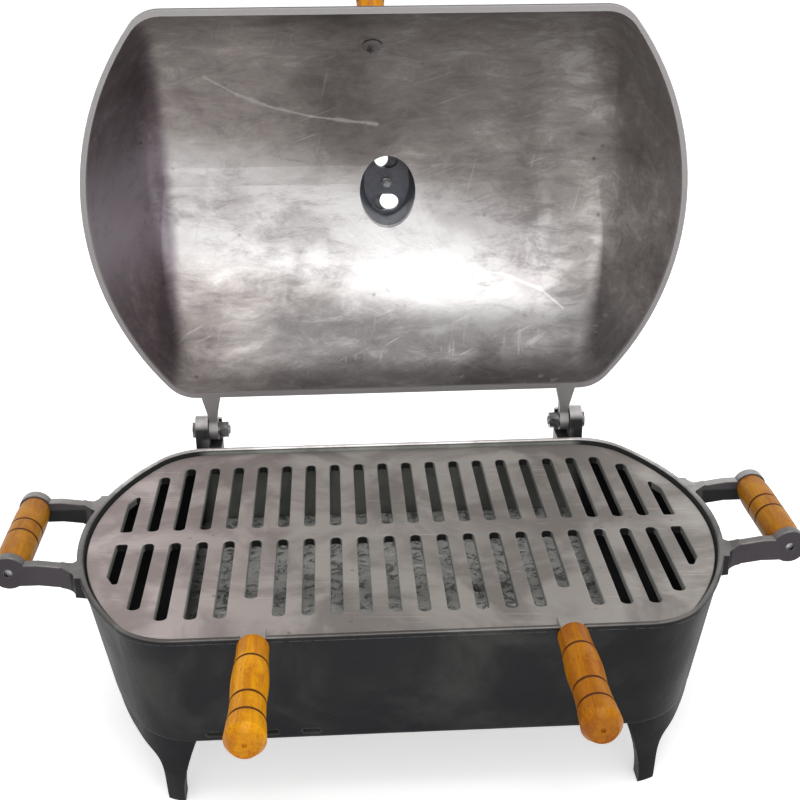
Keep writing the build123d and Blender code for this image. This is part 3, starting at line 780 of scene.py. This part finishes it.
@dataclass(frozen=True)
class LidCasting(Finish):
    """The lid: dark cast skin outside, and inside bare metal, brushed by hand and heat-stained, with a
    painted highlight along its crown and on its left, and painted shade low down and at its left end.
    """

    name: str = "lid_casting"
    skin: Colour = CAST_SKIN
    skin_pale: Colour = CAST_SKIN_PALE
    skin_worn: Colour = (0.28, 0.27, 0.27)
    rim: Colour = (0.42, 0.40, 0.40)
    bare: Colour = (0.315, 0.290, 0.278)
    bare_bright: Colour = (0.50, 0.475, 0.46)
    bare_dark: Colour = (0.19, 0.172, 0.166)
    polish_and_highlight: Colour = (0.70, 0.69, 0.69)
    painted_low_shade: Colour = (0.70, 0.72, 0.74)
    painted_light_left: Colour = (1.36, 1.36, 1.36)
    patch_shade: Colour = (0.72, 0.70, 0.70)
    end_shade: Colour = (0.40, 0.355, 0.40)
    well_shade: Colour = (0.22, 0.235, 0.27)
    spot_shade: Colour = (0.5, 0.48, 0.47)
    open_angle: float = math.radians(82.0)
    rim_plane: float = 0.1423
    vault_depth: float = 0.097
    vault_middle: Place = (0.0, 0.0, 0.03)
    facing_in: Pair = (0.0, 0.006)
    past_rim: Pair = (0.0004, 0.0012)
    near_rim: Pair = (0.0035, 0.0010)
    wipe_stretch: Place = (0.42, 1.0, 1.0)
    wipe_turn: Place = (0.0, 0.0, 0.55)
    rubs: float = 60.0
    spreads: float = 9.0
    rub_share: float = 0.55
    spread_share: float = 0.45
    dark_mottle: Pair = (0.36, 0.56)
    bright_mottle: Pair = (0.52, 0.66)
    crown_line: float = 0.055
    crown_slope: float = 0.2
    crown_width: Pair = (0.075, 0.022)
    crown_end: Pair = (0.195, 0.12)
    crown_mottle: Pair = (0.36, 0.52)
    crown_highlight_range: Pair = (0.45, 1.0)
    crown_right: Pair = (0.0, 0.12)
    crown_share: Pair = (0.9, 0.68)
    crown_roughness: float = 0.33
    low_band: Pair = (0.09, 0.125)
    low_band_left: Pair = (-0.15, -0.08)
    left_part: Pair = (-0.04, -0.12)
    painted_shade_left_end: Pair = (-0.178, -0.190)
    dark_patches: Pair = (0.52, 0.34)
    well_edge: float = 0.0015
    scratch_share: float = 0.45
    cross_share: float = 0.30
    streak_share: float = 0.5
    pale_patches: Pair = (0.42, 0.72)
    wear_share: float = 0.55
    rim_share: float = 0.7
    skin_roughness: float = 0.56
    bare_mottle: Pair = (0.35, 0.62)
    bare_roughness: Pair = (0.52, 0.40)
    skin_metallic: float = 0.72
    bare_metallic: float = 0.85
    streaks: tuple[tuple[Pair, Pair, float], ...] = (
        ((-0.145, -0.090), (-0.120, -0.074), 0.0022),
        ((-0.120, -0.074), (-0.093, -0.062), 0.0036),
        ((-0.093, -0.062), (-0.060, -0.053), 0.0030),
        ((-0.060, -0.053), (-0.005, -0.045), 0.0024),
        ((0.060, 0.082), (0.105, 0.088), 0.0022),
        ((0.105, 0.088), (0.140, 0.101), 0.0022),
        ((0.140, 0.101), (0.160, 0.116), 0.0014),
    )

    def shut_place(self, bench: Bench, place: Socket) -> Socket:
        """The place on the shut lid, measured from the middle of its rim.

        Args:
            bench: the material's tree.
            place: the place on the open lid.

        Returns:
            The place, with Z as the depth of the vault.
        """
        shut = bench.turn(place, self.open_angle, "X_AXIS", (0.0, HINGE_PIN.y, HINGE_PIN.z))
        return bench.vectors(VectorSum.LESS, shut, (0.0, TUB_MIDDLE_Y, self.rim_plane))

    def mottle(self, bench: Bench, lid: Socket) -> Socket:
        """The uneven rubbing of the bare metal, around 0.5.

        Args:
            bench: the material's tree.
            lid: the place on the shut lid.

        Returns:
            The mottle.
        """
        wiped = bench.stretch(lid, self.wipe_stretch, self.wipe_turn)
        rubbed = bench.cloud(wiped, self.rubs, detail=8.0, roughness=0.76, distortion=0.5)
        spread = bench.cloud(lid, self.spreads, detail=6.0, roughness=0.62, distortion=0.25)
        return bench.work(
            Sum.ADD, bench.times(rubbed, self.rub_share), bench.times(spread, self.spread_share)
        )

    def painted_crown_highlight(self, bench: Bench, x: Socket, y: Socket, mottle: Socket) -> Socket:
        """The band along the crown where a highlight is painted into the colour.

        Args:
            bench: the material's tree.
            x: the place along the lid.
            y: the place across the lid.
            mottle: the uneven rubbing.

        Returns:
            How strong the painted highlight is, from 0 to 1.
        """
        off_line = bench.work(
            Sum.TAKE, bench.work(Sum.TAKE, y, self.crown_line), bench.times(x, self.crown_slope)
        )
        crown = bench.span(bench.work(Sum.SIZE, off_line), *self.crown_width)
        crown = bench.times(crown, bench.span(x, *self.crown_end))
        return bench.times(crown, bench.span(mottle, *self.crown_mottle, *self.crown_highlight_range))

    def dress(self, bench: Bench, shader: bpy.types.Node) -> None:
        """Mixes the outside skin and the bare inside by place and direction, and paints highlight and shade
        into the bare inside.

        Args:
            bench: the material's tree.
            shader: its Principled BSDF.
        """
        place, facing = self.place(bench)
        lid = self.shut_place(bench, place)
        x, y, depth = bench.split(lid)
        turned = bench.turn(facing, self.open_angle, "X_AXIS")
        grain = GRAIN.on(bench, Place=lid, Grains=900.0)
        smudge = SMUDGE.on(bench, Place=lid, Patches=11.0)
        wear = WEAR.on(bench, Place=lid, Width=0.0016)["Wear"]
        scratch = SCRATCH.on(bench, Place=lid, Turn=0.35, Lines=800.0)
        cross = SCRATCH.on(bench, Place=lid, Turn=1.35, Lines=620.0)

        to_middle = bench.vectors(VectorSum.LESS, self.vault_middle, lid)
        inward = bench.vectors(VectorSum.DOT, to_middle, turned)
        inside = bench.times(bench.span(inward, *self.facing_in), bench.span(depth, *self.past_rim))
        mottle = self.mottle(bench, lid)
        crown = self.painted_crown_highlight(bench, x, y, mottle)

        bare = bench.blend(bench.span(mottle, *self.dark_mottle), self.bare_dark, self.bare)
        bare = bench.blend(bench.span(mottle, *self.bright_mottle), bare, self.bare_bright)
        # Painted shade: a band low on the open lid is darkened, except at its left.
        low = bench.times(bench.span(y, *self.low_band), bench.span(x, *self.low_band_left))
        bare = bench.tint(low, bare, self.painted_low_shade)
        # Painted light: the left part of the bare inside is brightened.
        bare = bench.tint(bench.span(x, *self.left_part), bare, self.painted_light_left)
        # Painted highlight: a bright band along the crown, fading towards the right.
        crown_share = bench.span(x, *self.crown_right, *self.crown_share)
        bare = bench.blend(bench.times(crown, crown_share), bare, self.polish_and_highlight)
        bare = bench.tint(bench.span(smudge["Broad"], *self.dark_patches), bare, self.patch_shade)
        bare = bench.blend(bench.times(scratch["Bright"], self.scratch_share), bare, self.bare_bright)
        bare = bench.blend(bench.times(cross["Bright"], self.cross_share), bare, self.bare_bright)
        for start, end, half in self.streaks:
            mark = STROKE.on(bench, Place=lid, Start=(*start, 0.0), End=(*end, 0.0), Half=half)["Mark"]
            bare = bench.blend(bench.times(mark, self.streak_share), bare, self.polish_and_highlight)
        # Painted shade: the left end wall of the vault is darkened.
        bare = bench.tint(bench.span(x, *self.painted_shade_left_end), bare, self.end_shade)
        well = bench.span(depth, self.vault_depth, self.vault_depth + self.well_edge)
        bare = bench.tint(well, bare, self.well_shade)
        bare = bench.tint(smudge["Spots"], bare, self.spot_shade)

        skin = bench.blend(bench.span(smudge["Broad"], *self.pale_patches), self.skin, self.skin_pale)
        skin = bench.blend(bench.times(wear, self.wear_share), skin, self.skin_worn)
        on_rim = bench.times(bench.span(depth, *self.near_rim), self.rim_share)
        colour = bench.blend(on_rim, bench.blend(inside, skin, bare), self.rim)
        bench.feed(shader.inputs["Base Color"], colour)

        bare_rough = bench.span(mottle, *self.bare_mottle, *self.bare_roughness)
        bare_rough = bench.level(crown, bare_rough, self.crown_roughness)
        bench.feed(shader.inputs["Roughness"], bench.level(inside, self.skin_roughness, bare_rough))
        bench.feed(shader.inputs["Metallic"], bench.level(inside, self.skin_metallic, self.bare_metallic))
        self.bump(
            bench,
            shader,
            (smudge["Broad"], 0.003, 0.25),
            (grain["Height"], 0.0005, 0.35),
            (scratch["Height"], 0.0001, 0.22),
            (cross["Height"], 0.00006, 0.15),
        )


@dataclass(frozen=True)
class GroundPlate(Finish):
    """The cooking grate: ground bright on its top face, cast and stained in its slots, with painted shade on
    the slot walls that face the front.
    """

    name: str = "ground_face"
    ground: Colour = (0.36, 0.335, 0.31)
    ground_pink: Colour = (0.465, 0.40, 0.385)
    ground_shade: Colour = (0.58, 0.56, 0.56)
    ground_bright: Colour = (0.6, 0.58, 0.56)
    rust: Colour = (0.35, 0.27, 0.24)
    slot_wall: Colour = (0.22, 0.225, 0.21)
    slot_wall_pale: Colour = (0.36, 0.36, 0.34)
    soot: Colour = (0.012, 0.011, 0.011)
    worn: Colour = (0.45, 0.43, 0.41)
    top_face: Pair = (0.75, 0.97)
    left_part: Pair = (-0.02, -0.2)
    dark_patches: Pair = (0.60, 0.38)
    wall_patches: Pair = (0.35, 0.65)
    painted_shade_facing_front: Pair = (-0.35, -0.8)
    rust_share: float = 0.7
    scratch_share: float = 0.4
    wear_share: float = 0.30
    rough_patches: Pair = (0.3, 0.7)
    face_roughness: Pair = (0.56, 0.44)
    wall_roughness: float = 0.6
    metallic: float = 0.6

    def dress(self, bench: Bench, shader: bpy.types.Node) -> None:
        """Mixes the ground face and the slot walls by direction.

        Args:
            bench: the material's tree.
            shader: its Principled BSDF.
        """
        place, facing = self.place(bench)
        x, _, _ = bench.split(place)
        _, back, up = bench.split(facing)
        grain = GRAIN.on(bench, Place=place, Grains=1100.0)
        smudge = SMUDGE.on(bench, Place=place, Patches=13.0)
        wear = WEAR.on(bench, Place=place, Width=0.0012)["Wear"]
        scratch = SCRATCH.on(bench, Place=place, Turn=0.06, Lines=1100.0)
        swirl = SCRATCH.on(bench, Place=place, Turn=0.75, Lines=850.0)

        face = bench.span(up, *self.top_face)
        ground = bench.blend(bench.span(x, *self.left_part), self.ground, self.ground_pink)
        ground = bench.tint(bench.span(smudge["Broad"], *self.dark_patches), ground, self.ground_shade)
        ground = bench.tint(bench.times(smudge["Spots"], self.rust_share), ground, self.rust)
        ground = bench.blend(bench.times(scratch["Bright"], self.scratch_share), ground, self.ground_bright)
        pale_wall = bench.span(smudge["Broad"], *self.wall_patches)
        wall = bench.blend(pale_wall, self.slot_wall, self.slot_wall_pale)
        # Painted shade, not soot: slot walls that face the front are turned near black.
        wall = bench.blend(bench.span(back, *self.painted_shade_facing_front), wall, self.soot)
        colour = bench.blend(face, wall, ground)
        colour = bench.blend(bench.times(wear, self.wear_share), colour, self.worn)
        bench.feed(shader.inputs["Base Color"], colour)
        face_rough = bench.span(smudge["Broad"], *self.rough_patches, *self.face_roughness)
        bench.feed(shader.inputs["Roughness"], bench.level(face, self.wall_roughness, face_rough))
        shader.inputs["Metallic"].default_value = self.metallic
        self.bump(
            bench,
            shader,
            (grain["Height"], 0.0004, 0.25),
            (scratch["Height"], 0.0001, 0.3),
            (swirl["Height"], 0.00008, 0.22),
        )


@dataclass(frozen=True)
class CrinkledPlate(Finish):
    """The coal plate: bright crinkled skin under a film of ash and soot."""

    name: str = "crinkled_plate"
    bright: Colour = (0.95, 0.94, 0.91)
    ashy: Colour = (0.80, 0.80, 0.77)
    fold_shade: Colour = (0.42, 0.42, 0.42)
    end_shade: Colour = (0.15, 0.15, 0.15)
    crinkles: float = 75.0
    ash_patches: Pair = (0.4, 0.62)
    dark_folds: Pair = (0.50, 0.42)
    sooty_end: Pair = (0.14, 0.165)
    fold_edge: Pair = (0.35, 0.65)
    roughness: Pair = (0.22, 0.5)
    metallic: float = 0.10

    def dress(self, bench: Bench, shader: bpy.types.Node) -> None:
        """Lays ash over bright metal, darker in its folds and towards the ends of the tub.

        Args:
            bench: the material's tree.
            shader: its Principled BSDF.
        """
        place, _ = self.place(bench)
        x, _, _ = bench.split(place)
        smudge = SMUDGE.on(bench, Place=place, Patches=34.0)
        crinkle = bench.cloud(place, self.crinkles, detail=5.0, roughness=0.66, distortion=1.4)
        colour = bench.blend(bench.span(smudge["Broad"], *self.ash_patches), self.ashy, self.bright)
        colour = bench.tint(bench.span(crinkle, *self.dark_folds), colour, self.fold_shade)
        colour = bench.tint(bench.span(bench.work(Sum.SIZE, x), *self.sooty_end), colour, self.end_shade)
        bench.feed(shader.inputs["Base Color"], colour)
        bench.feed(shader.inputs["Roughness"], bench.span(crinkle, *self.fold_edge, *self.roughness))
        shader.inputs["Metallic"].default_value = self.metallic
        self.bump(bench, shader, (crinkle, 0.008, 1.0))


@dataclass(frozen=True)
class TurnedWood(Finish):
    """Turned and varnished wood, with its rings burnt in on the lathe."""

    name: str = "turned_wood"
    middle: Place = ORIGIN
    axis: Place = (0.0, 1.0, 0.0)
    rings: tuple[float, ...] = ()
    ends: Pair = (-0.05, 0.05)
    pale: Colour = (0.74, 0.315, 0.0)
    deep: Colour = (0.50, 0.165, 0.0)
    burnt: Colour = (0.070, 0.014, 0.003)
    streak_shade: Colour = (0.88, 0.78, 0.66)
    pore_shade: Colour = (0.68, 0.55, 0.45)
    end_shade: Colour = (0.55, 0.38, 0.28)
    band_stretch: Place = (1.0, 0.06, 1.0)
    pore_stretch: Place = (1.0, 0.10, 1.0)
    streaks: float = 520.0
    bands: float = 130.0
    pores: float = 1500.0
    patches: float = 60.0
    pale_bands: Pair = (0.38, 0.66)
    pale_patches: Pair = (0.45, 0.7)
    dark_streaks: Pair = (0.58, 0.34)
    dark_pores: Pair = (0.38, 0.28)
    ring_half: Pair = (0.0008, 0.0019)
    ring_wobble: float = 0.0012
    ring_share: float = 0.93
    end_depth: float = 0.004
    end_share: float = 0.35
    lathe_rings: float = 5200.0
    lathe_marks: float = 4100.0
    streak_edge: Pair = (0.3, 0.7)
    roughness: Pair = (0.45, 0.6)
    specular: float = 0.12
    varnish: float = 0.12
    varnish_roughness: float = 0.16

    def along_grain(self, bench: Bench, place: Socket) -> tuple[Socket, Socket]:
        """The place with the grain laid along Y.

        Args:
            bench: the material's tree.
            place: the place on the piece.

        Returns:
            The laid place, and the distance along the axis from the handle's middle.
        """
        away = bench.vectors(VectorSum.LESS, place, self.middle)
        turn = Vector(self.axis).rotation_difference(Vector((0.0, 1.0, 0.0))).to_euler()
        laid = bench.add(
            "ShaderNodeVectorRotate", {"Vector": away, "Rotation": tuple(turn)}, rotation_type="EULER_XYZ"
        ).outputs["Vector"]
        return laid, bench.split(laid)[1]

    def wood(self, bench: Bench, laid: Socket, streaks: Socket, bands: Socket) -> Socket:
        """The colour of the bare wood.

        Args:
            bench: the material's tree.
            laid: the place with the grain along Y.
            streaks: the fine streaks of the grain.
            bands: its broad bands.

        Returns:
            The colour.
        """
        pores = bench.cloud(bench.stretch(laid, self.pore_stretch), self.pores, detail=1.0)
        patches = bench.cloud(laid, self.patches, detail=3.0, roughness=0.5)
        colour = bench.blend(bench.span(bands, *self.pale_bands), self.deep, self.pale)
        colour = bench.blend(bench.span(patches, *self.pale_patches), colour, self.pale)
        colour = bench.tint(bench.span(streaks, *self.dark_streaks), colour, self.streak_shade)
        return bench.tint(bench.span(pores, *self.dark_pores), colour, self.pore_shade)

    def burnt_rings(self, bench: Bench, along: Socket, bands: Socket) -> Feed:
        """Where the rings are burnt in.

        Args:
            bench: the material's tree.
            along: the distance along the axis.
            bands: the broad bands of the grain, which make the rings uneven.

        Returns:
            1 in the rings, and 0 elsewhere.
        """
        wobble = bench.times(bench.work(Sum.TAKE, bands, 0.5), self.ring_wobble)
        burn: Feed = 0.0
        for ring in self.rings:
            gap = bench.work(Sum.SIZE, bench.work(Sum.TAKE, along, ring))
            mark = bench.span(bench.work(Sum.TAKE, gap, wobble), *self.ring_half, start=1.0, end=0.0)
            burn = bench.work(Sum.MOST, burn, mark)
        return burn

    def dress(self, bench: Bench, shader: bpy.types.Node) -> None:
        """Draws the grain, the burnt rings and the darker ends under a clear varnish.

        Args:
            bench: the material's tree.
            shader: its Principled BSDF.
        """
        place, _ = self.place(bench)
        laid, along = self.along_grain(bench, place)
        x, _, z = bench.split(laid)
        drawn = bench.stretch(laid, self.band_stretch)
        streaks = bench.cloud(drawn, self.streaks, detail=4.0, roughness=0.6)
        bands = bench.cloud(drawn, self.bands, detail=3.0, roughness=0.55, distortion=0.8)
        near_end = bench.work(
            Sum.MOST,
            bench.span(along, self.ends[0] + self.end_depth, self.ends[0]),
            bench.span(along, self.ends[1] - self.end_depth, self.ends[1]),
        )
        colour = self.wood(bench, laid, streaks, bands)
        colour = bench.tint(bench.times(near_end, self.end_share), colour, self.end_shade)
        burn = bench.times(self.burnt_rings(bench, along, bands), self.ring_share)
        bench.feed(shader.inputs["Base Color"], bench.blend(burn, colour, self.burnt))

        squares = bench.work(Sum.ADD, bench.work(Sum.POWER, x, 2.0), bench.work(Sum.POWER, z, 2.0))
        off_axis = bench.work(Sum.ROOT, squares)
        faced = bench.work(Sum.SINE, bench.times(off_axis, self.lathe_rings))
        turned = bench.work(Sum.SINE, bench.times(along, self.lathe_marks))
        bench.feed(shader.inputs["Roughness"], bench.span(streaks, *self.streak_edge, *self.roughness))
        shader.inputs["Specular IOR Level"].default_value = self.specular
        shader.inputs["Coat Weight"].default_value = self.varnish
        shader.inputs["Coat Roughness"].default_value = self.varnish_roughness
        marks = bench.level(near_end, turned, faced)
        self.bump(bench, shader, (marks, 0.00006, 0.5), (streaks, 0.00012, 0.4))


@dataclass(frozen=True)
class MottledMetal(Finish):
    """Metal in two tones, rubbed brighter along its edges."""

    name: str = "mottled_metal"
    clean: Colour = (0.42, 0.42, 0.43)
    dirty: Colour = (0.10, 0.09, 0.085)
    rubbed: Colour = (0.6, 0.6, 0.6)
    dirty_patches: Pair = (0.62, 0.32)
    grains: float = 2600.0
    grain_depth: float = 0.0001
    grain_strength: float = 0.3
    patches: float = 90.0
    wear_width: float = 0.0007
    wear_share: float = 0.5
    tone: Pair = (0.3, 0.7)
    roughness: Pair = (0.28, 0.5)
    metallic: float = 0.95

    def dress(self, bench: Bench, shader: bpy.types.Node) -> None:
        """Mottles the metal and brightens its edges.

        Args:
            bench: the material's tree.
            shader: its Principled BSDF.
        """
        place, _ = self.place(bench)
        grain = GRAIN.on(bench, Place=place, Grains=self.grains)
        smudge = SMUDGE.on(bench, Place=place, Patches=self.patches)
        wear = WEAR.on(bench, Place=place, Width=self.wear_width)["Wear"]
        colour = bench.blend(bench.span(smudge["Broad"], *self.dirty_patches), self.clean, self.dirty)
        colour = bench.blend(bench.times(wear, self.wear_share), colour, self.rubbed)
        bench.feed(shader.inputs["Base Color"], colour)
        bench.feed(shader.inputs["Roughness"], bench.span(grain["Tone"], *self.tone, *self.roughness))
        shader.inputs["Metallic"].default_value = self.metallic
        self.bump(bench, shader, (grain["Height"], self.grain_depth, self.grain_strength))


@dataclass(frozen=True)
class PlatedSteel(MottledMetal):
    """Zinc-plated fasteners, dulled and stained where soot reaches them."""

    name: str = "zinc_plating"


@dataclass(frozen=True)
class RoughPlate(MottledMetal):
    """Cast or stamped metal left as it came, for the damper and the lid handle's collar."""

    name: str = "rough_sheet"
    clean: Colour = (0.20, 0.20, 0.20)
    dirty: Colour = (0.07, 0.07, 0.075)
    rubbed: Colour = (0.42, 0.41, 0.40)
    dirty_patches: Pair = (0.64, 0.36)
    grains: float = 1500.0
    grain_depth: float = 0.0003
    grain_strength: float = 0.4
    patches: float = 45.0
    wear_width: float = 0.0009
    wear_share: float = 0.6
    roughness: Pair = (0.42, 0.62)
    metallic: float = 0.85


def dress_node(name: str, finish: Finish) -> None:
    """Gives a CAD node its finish.

    Args:
        name: the node's name.
        finish: what it is made of.
    """
    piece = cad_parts[name]
    material = finish.material()
    for spot in piece.material_slots:
        spot.link = "OBJECT"
        spot.material = material
    log.info("%s: %s", name, finish.name)


@dataclass
class Studio:
    """The floor, the light and the camera."""

    floor_half: float = 40.0
    far_clip: float = 200.0
    lens: float = 60.75
    sensor: float = 36.0
    shift: Pair = (-0.025, 0.1625)
    camera_from_tub: Place = (-0.0426, -0.921444, 0.60219)
    camera_right: Place = (0.99793099, -0.06410923, -0.00487347)
    camera_down: Place = (-0.03321055, -0.44908422, -0.89287201)
    camera_ahead: Place = (0.05505274, 0.89118649, -0.45028417)
    floor_white: float = 0.90
    floor_lift: float = 0.52
    sky: float = 0.60
    sky_shown: float = 1.0
    softboxes: tuple[tuple[str, Place, Place, Pair, float], ...] = (
        ("front_softbox", (0.0, -3.0, 1.35), (0.0, 0.1, 0.25), (3.2, 1.4), 34.0),
        ("top_softbox", (0.2, -0.2, 2.8), (0.0, 0.0, 0.1), (2.2, 1.6), 33.0),
        ("back_softbox", (-0.2, 2.4, 2.6), (0.0, 0.0, 0.1), (3.0, 1.2), 9.0),
    )

    def build(self) -> None:
        """Makes the floor, the world, the lamps and the camera."""
        self.lay_floor()
        self.light_world()
        for softbox in self.softboxes:
            self.hang_lamp(*softbox)
        self.set_camera()

    def lay_floor(self) -> None:
        """Lays a plain pale floor that keeps the grill's shadow."""
        half = self.floor_half
        mesh = bpy.data.meshes.new("studio_floor")
        corners = [(-half, -half, 0), (half, -half, 0), (half, half, 0), (-half, half, 0)]
        mesh.from_pydata(corners, [], [(0, 1, 2, 3)])
        floor = bpy.data.objects.new("studio_floor", mesh)
        bpy.context.scene.collection.objects.link(floor)
        material = bpy.data.materials.new("studio_floor")
        material.use_nodes = True
        material.node_tree.nodes.clear()
        bench = Bench(material.node_tree)
        white = (self.floor_white,) * 3
        matt = bench.add("ShaderNodeBsdfDiffuse", {"Color": white})
        lift = self.seen(bench, 0.0, self.floor_lift)
        glow = bench.add("ShaderNodeEmission", {"Color": WHITE, "Strength": lift})
        both = bench.add("ShaderNodeAddShader", {0: matt.outputs[0], 1: glow.outputs[0]})
        bench.add("ShaderNodeOutputMaterial", {"Surface": both.outputs[0]})
        mesh.materials.append(material)

    def seen(self, bench: Bench, unseen: float, shown: float) -> Socket:
        """A strength that is higher where the camera, metal or glass shows the surface.

        Args:
            bench: the tree.
            unseen: the strength for the light that falls on the grill.
            shown: the strength as a background.

        Returns:
            The strength.
        """
        path = bench.add("ShaderNodeLightPath").outputs
        looks = bench.work(Sum.MOST, path["Is Camera Ray"], path["Is Glossy Ray"])
        looks = bench.work(Sum.MOST, looks, path["Is Transmission Ray"])
        return bench.level(looks, unseen, shown)

    def light_world(self) -> None:
        """Fills the room with even light, and with white where it is seen."""
        world = bpy.data.worlds.new("studio")
        world.use_nodes = True
        world.node_tree.nodes.clear()
        bench = Bench(world.node_tree)
        strength = self.seen(bench, self.sky, self.sky_shown)
        sky = bench.add("ShaderNodeBackground", {"Color": WHITE, "Strength": strength})
        bench.add("ShaderNodeOutputWorld", {"Surface": sky.outputs[0]})
        bpy.context.scene.world = world

    def hang_lamp(
        self, name: str, at: Place, towards: Place, size: Pair, power: float
    ) -> None:
        """Hangs a rectangular softbox.

        Args:
            name: the lamp's name.
            at: its middle.
            towards: the point that it faces.
            size: its width and height.
            power: its power in watts.
        """
        light = bpy.data.lights.new(name, "AREA")
        light.shape = "RECTANGLE"
        light.size, light.size_y = size
        light.energy = power
        lamp = bpy.data.objects.new(name, light)
        lamp.location = at
        lamp.rotation_euler = (Vector(towards) - Vector(at)).to_track_quat("-Z", "Y").to_euler()
        bpy.context.scene.collection.objects.link(lamp)

    def set_camera(self) -> None:
        """Puts the camera where the photograph was taken from."""
        view = bpy.data.cameras.new("camera")
        view.sensor_width = self.sensor
        view.lens = self.lens
        view.shift_x, view.shift_y = self.shift
        view.clip_end = self.far_clip
        camera = bpy.data.objects.new("camera", view)
        right, up, back = Vector(self.camera_right), -Vector(self.camera_down), -Vector(self.camera_ahead)
        turn = Matrix((right, up, back)).transposed().to_4x4()
        across, along, up_at = self.camera_from_tub
        camera.matrix_world = Matrix.Translation((across, TUB_MIDDLE_Y + along, up_at)) @ turn
        bpy.context.scene.collection.objects.link(camera)
        bpy.context.scene.camera = camera


@dataclass
class Tub:
    """The fire tub with its legs, arms and hinge brackets, and the rods through its bosses."""

    casting: TubCasting = field(default_factory=TubCasting)
    rods: PlatedSteel = field(default_factory=PlatedSteel)

    def dress(self) -> None:
        """Gives the castings and the rods their finishes."""
        dress_node("fire_tub", self.casting)
        for side in ("left", "right"):
            dress_node(f"side_grip_rod_{side}", self.rods)


@dataclass
class Lid:
    """The vaulted lid with its handle."""

    casting: LidCasting = field(default_factory=LidCasting)
    collar: RoughPlate = field(
        default_factory=lambda: RoughPlate("blackened_collar", (0.09, 0.088, 0.09), (0.03, 0.03, 0.032))
    )
    fixings: PlatedSteel = field(default_factory=PlatedSteel)
    handle_rings: tuple[float, ...] = (-0.021, 0.019, 0.035)
    handle_ends: Pair = (-0.045, 0.045)

    def dress(self) -> None:
        """Gives the lid and the parts of its handle their finishes."""
        dress_node("lid_shell", self.casting)
        dress_node("lid_handle_collar", self.collar)
        for name in ("lid_handle_stud", "lid_handle_nut"):
            dress_node(name, self.fixings)
        axis = (middle_of("lid_handle") - middle_of("lid_handle_collar")).normalized()
        wood = TurnedWood(
            "lid_handle_wood",
            middle=tuple(middle_of("lid_handle")),
            axis=tuple(axis),
            rings=self.handle_rings,
            ends=self.handle_ends,
        )
        dress_node("lid_handle", wood)


@dataclass
class Vent:
    """The damper on the crown of the lid, with its screw, washer and nut."""

    damper: RoughPlate = field(default_factory=lambda: RoughPlate("damper_sheet"))
    fixings: PlatedSteel = field(default_factory=PlatedSteel)

    def dress(self) -> None:
        """Gives the damper and its fixings their finishes."""
        dress_node("vent_damper", self.damper)
        for name in ("vent_screw", "vent_washer", "vent_nut"):
            dress_node(name, self.fixings)


@dataclass
class CookingGrate:
    """The slotted plate and its two turned handles."""

    plate: GroundPlate = field(default_factory=GroundPlate)
    studs: PlatedSteel = field(default_factory=PlatedSteel)
    ring_places: tuple[float, ...] = (0.025, 0.066, 0.086)
    pale_wood: tuple[Colour, Colour] = ((0.74, 0.325, 0.0), (0.44, 0.165, 0.0))
    deep_wood: tuple[Colour, Colour] = ((0.52, 0.19, 0.0), (0.32, 0.10, 0.0))

    def dress(self) -> None:
        """Gives the plate, the handles and their studs their finishes."""
        dress_node("cooking_grate", self.plate)
        for side, pale, deep in zip(("left", "right"), self.pale_wood, self.deep_wood):
            low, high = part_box(f"grate_handle_{side}")
            middle = (low + high) / 2
            half = (high.y - low.y) / 2
            rings = tuple(half - place for place in self.ring_places)
            wood = TurnedWood(
                f"grate_handle_wood_{side}",
                middle=tuple(middle),
                rings=rings,
                ends=(-half, half),
                pale=pale,
                deep=deep,
            )
            dress_node(f"grate_handle_{side}", wood)
            dress_node(f"grate_handle_stud_{side}", self.studs)


@dataclass
class CoalPlate:
    """The perforated plate that carries the coals."""

    plate: CrinkledPlate = field(default_factory=CrinkledPlate)

    def dress(self) -> None:
        """Gives the plate its finish."""
        dress_node("coal_plate", self.plate)


@dataclass
class SideGrips:
    """The two wooden carrying grips."""

    ring_offset: float = 0.009
    pale_wood: Colour = (0.46, 0.20, 0.008)
    deep_wood: Colour = (0.33, 0.115, 0.004)

    def dress(self) -> None:
        """Gives each grip its wood."""
        for side in ("left", "right"):
            low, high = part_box(f"side_grip_{side}")
            middle = (low + high) / 2
            half = (high.y - low.y) / 2
            wood = TurnedWood(
                f"side_grip_wood_{side}",
                middle=tuple(middle),
                rings=(-self.ring_offset, self.ring_offset),
                ends=(-half, half),
                pale=self.pale_wood,
                deep=self.deep_wood,
            )
            dress_node(f"side_grip_{side}", wood)


@dataclass
class Hinges:
    """The bolts and nuts that carry the lid."""

    fixings: PlatedSteel = field(default_factory=PlatedSteel)

    def dress(self) -> None:
        """Gives the bolts and nuts their plating."""
        for side in ("left", "right"):
            dress_node(f"hinge_bolt_{side}", self.fixings)
            dress_node(f"hinge_nut_{side}", self.fixings)


def main() -> None:
    """Builds the studio, then each sub-assembly in turn."""
    logging.basicConfig(level=logging.INFO, format="%(name)s %(message)s")
    Studio().build()
    for part in (Tub(), Lid(), Vent(), CookingGrate(), CoalPlate(), SideGrips(), Hinges()):
        part.dress()
    bpy.context.scene.view_settings.view_transform = "Standard"


if __name__ == "__main__":
    main()
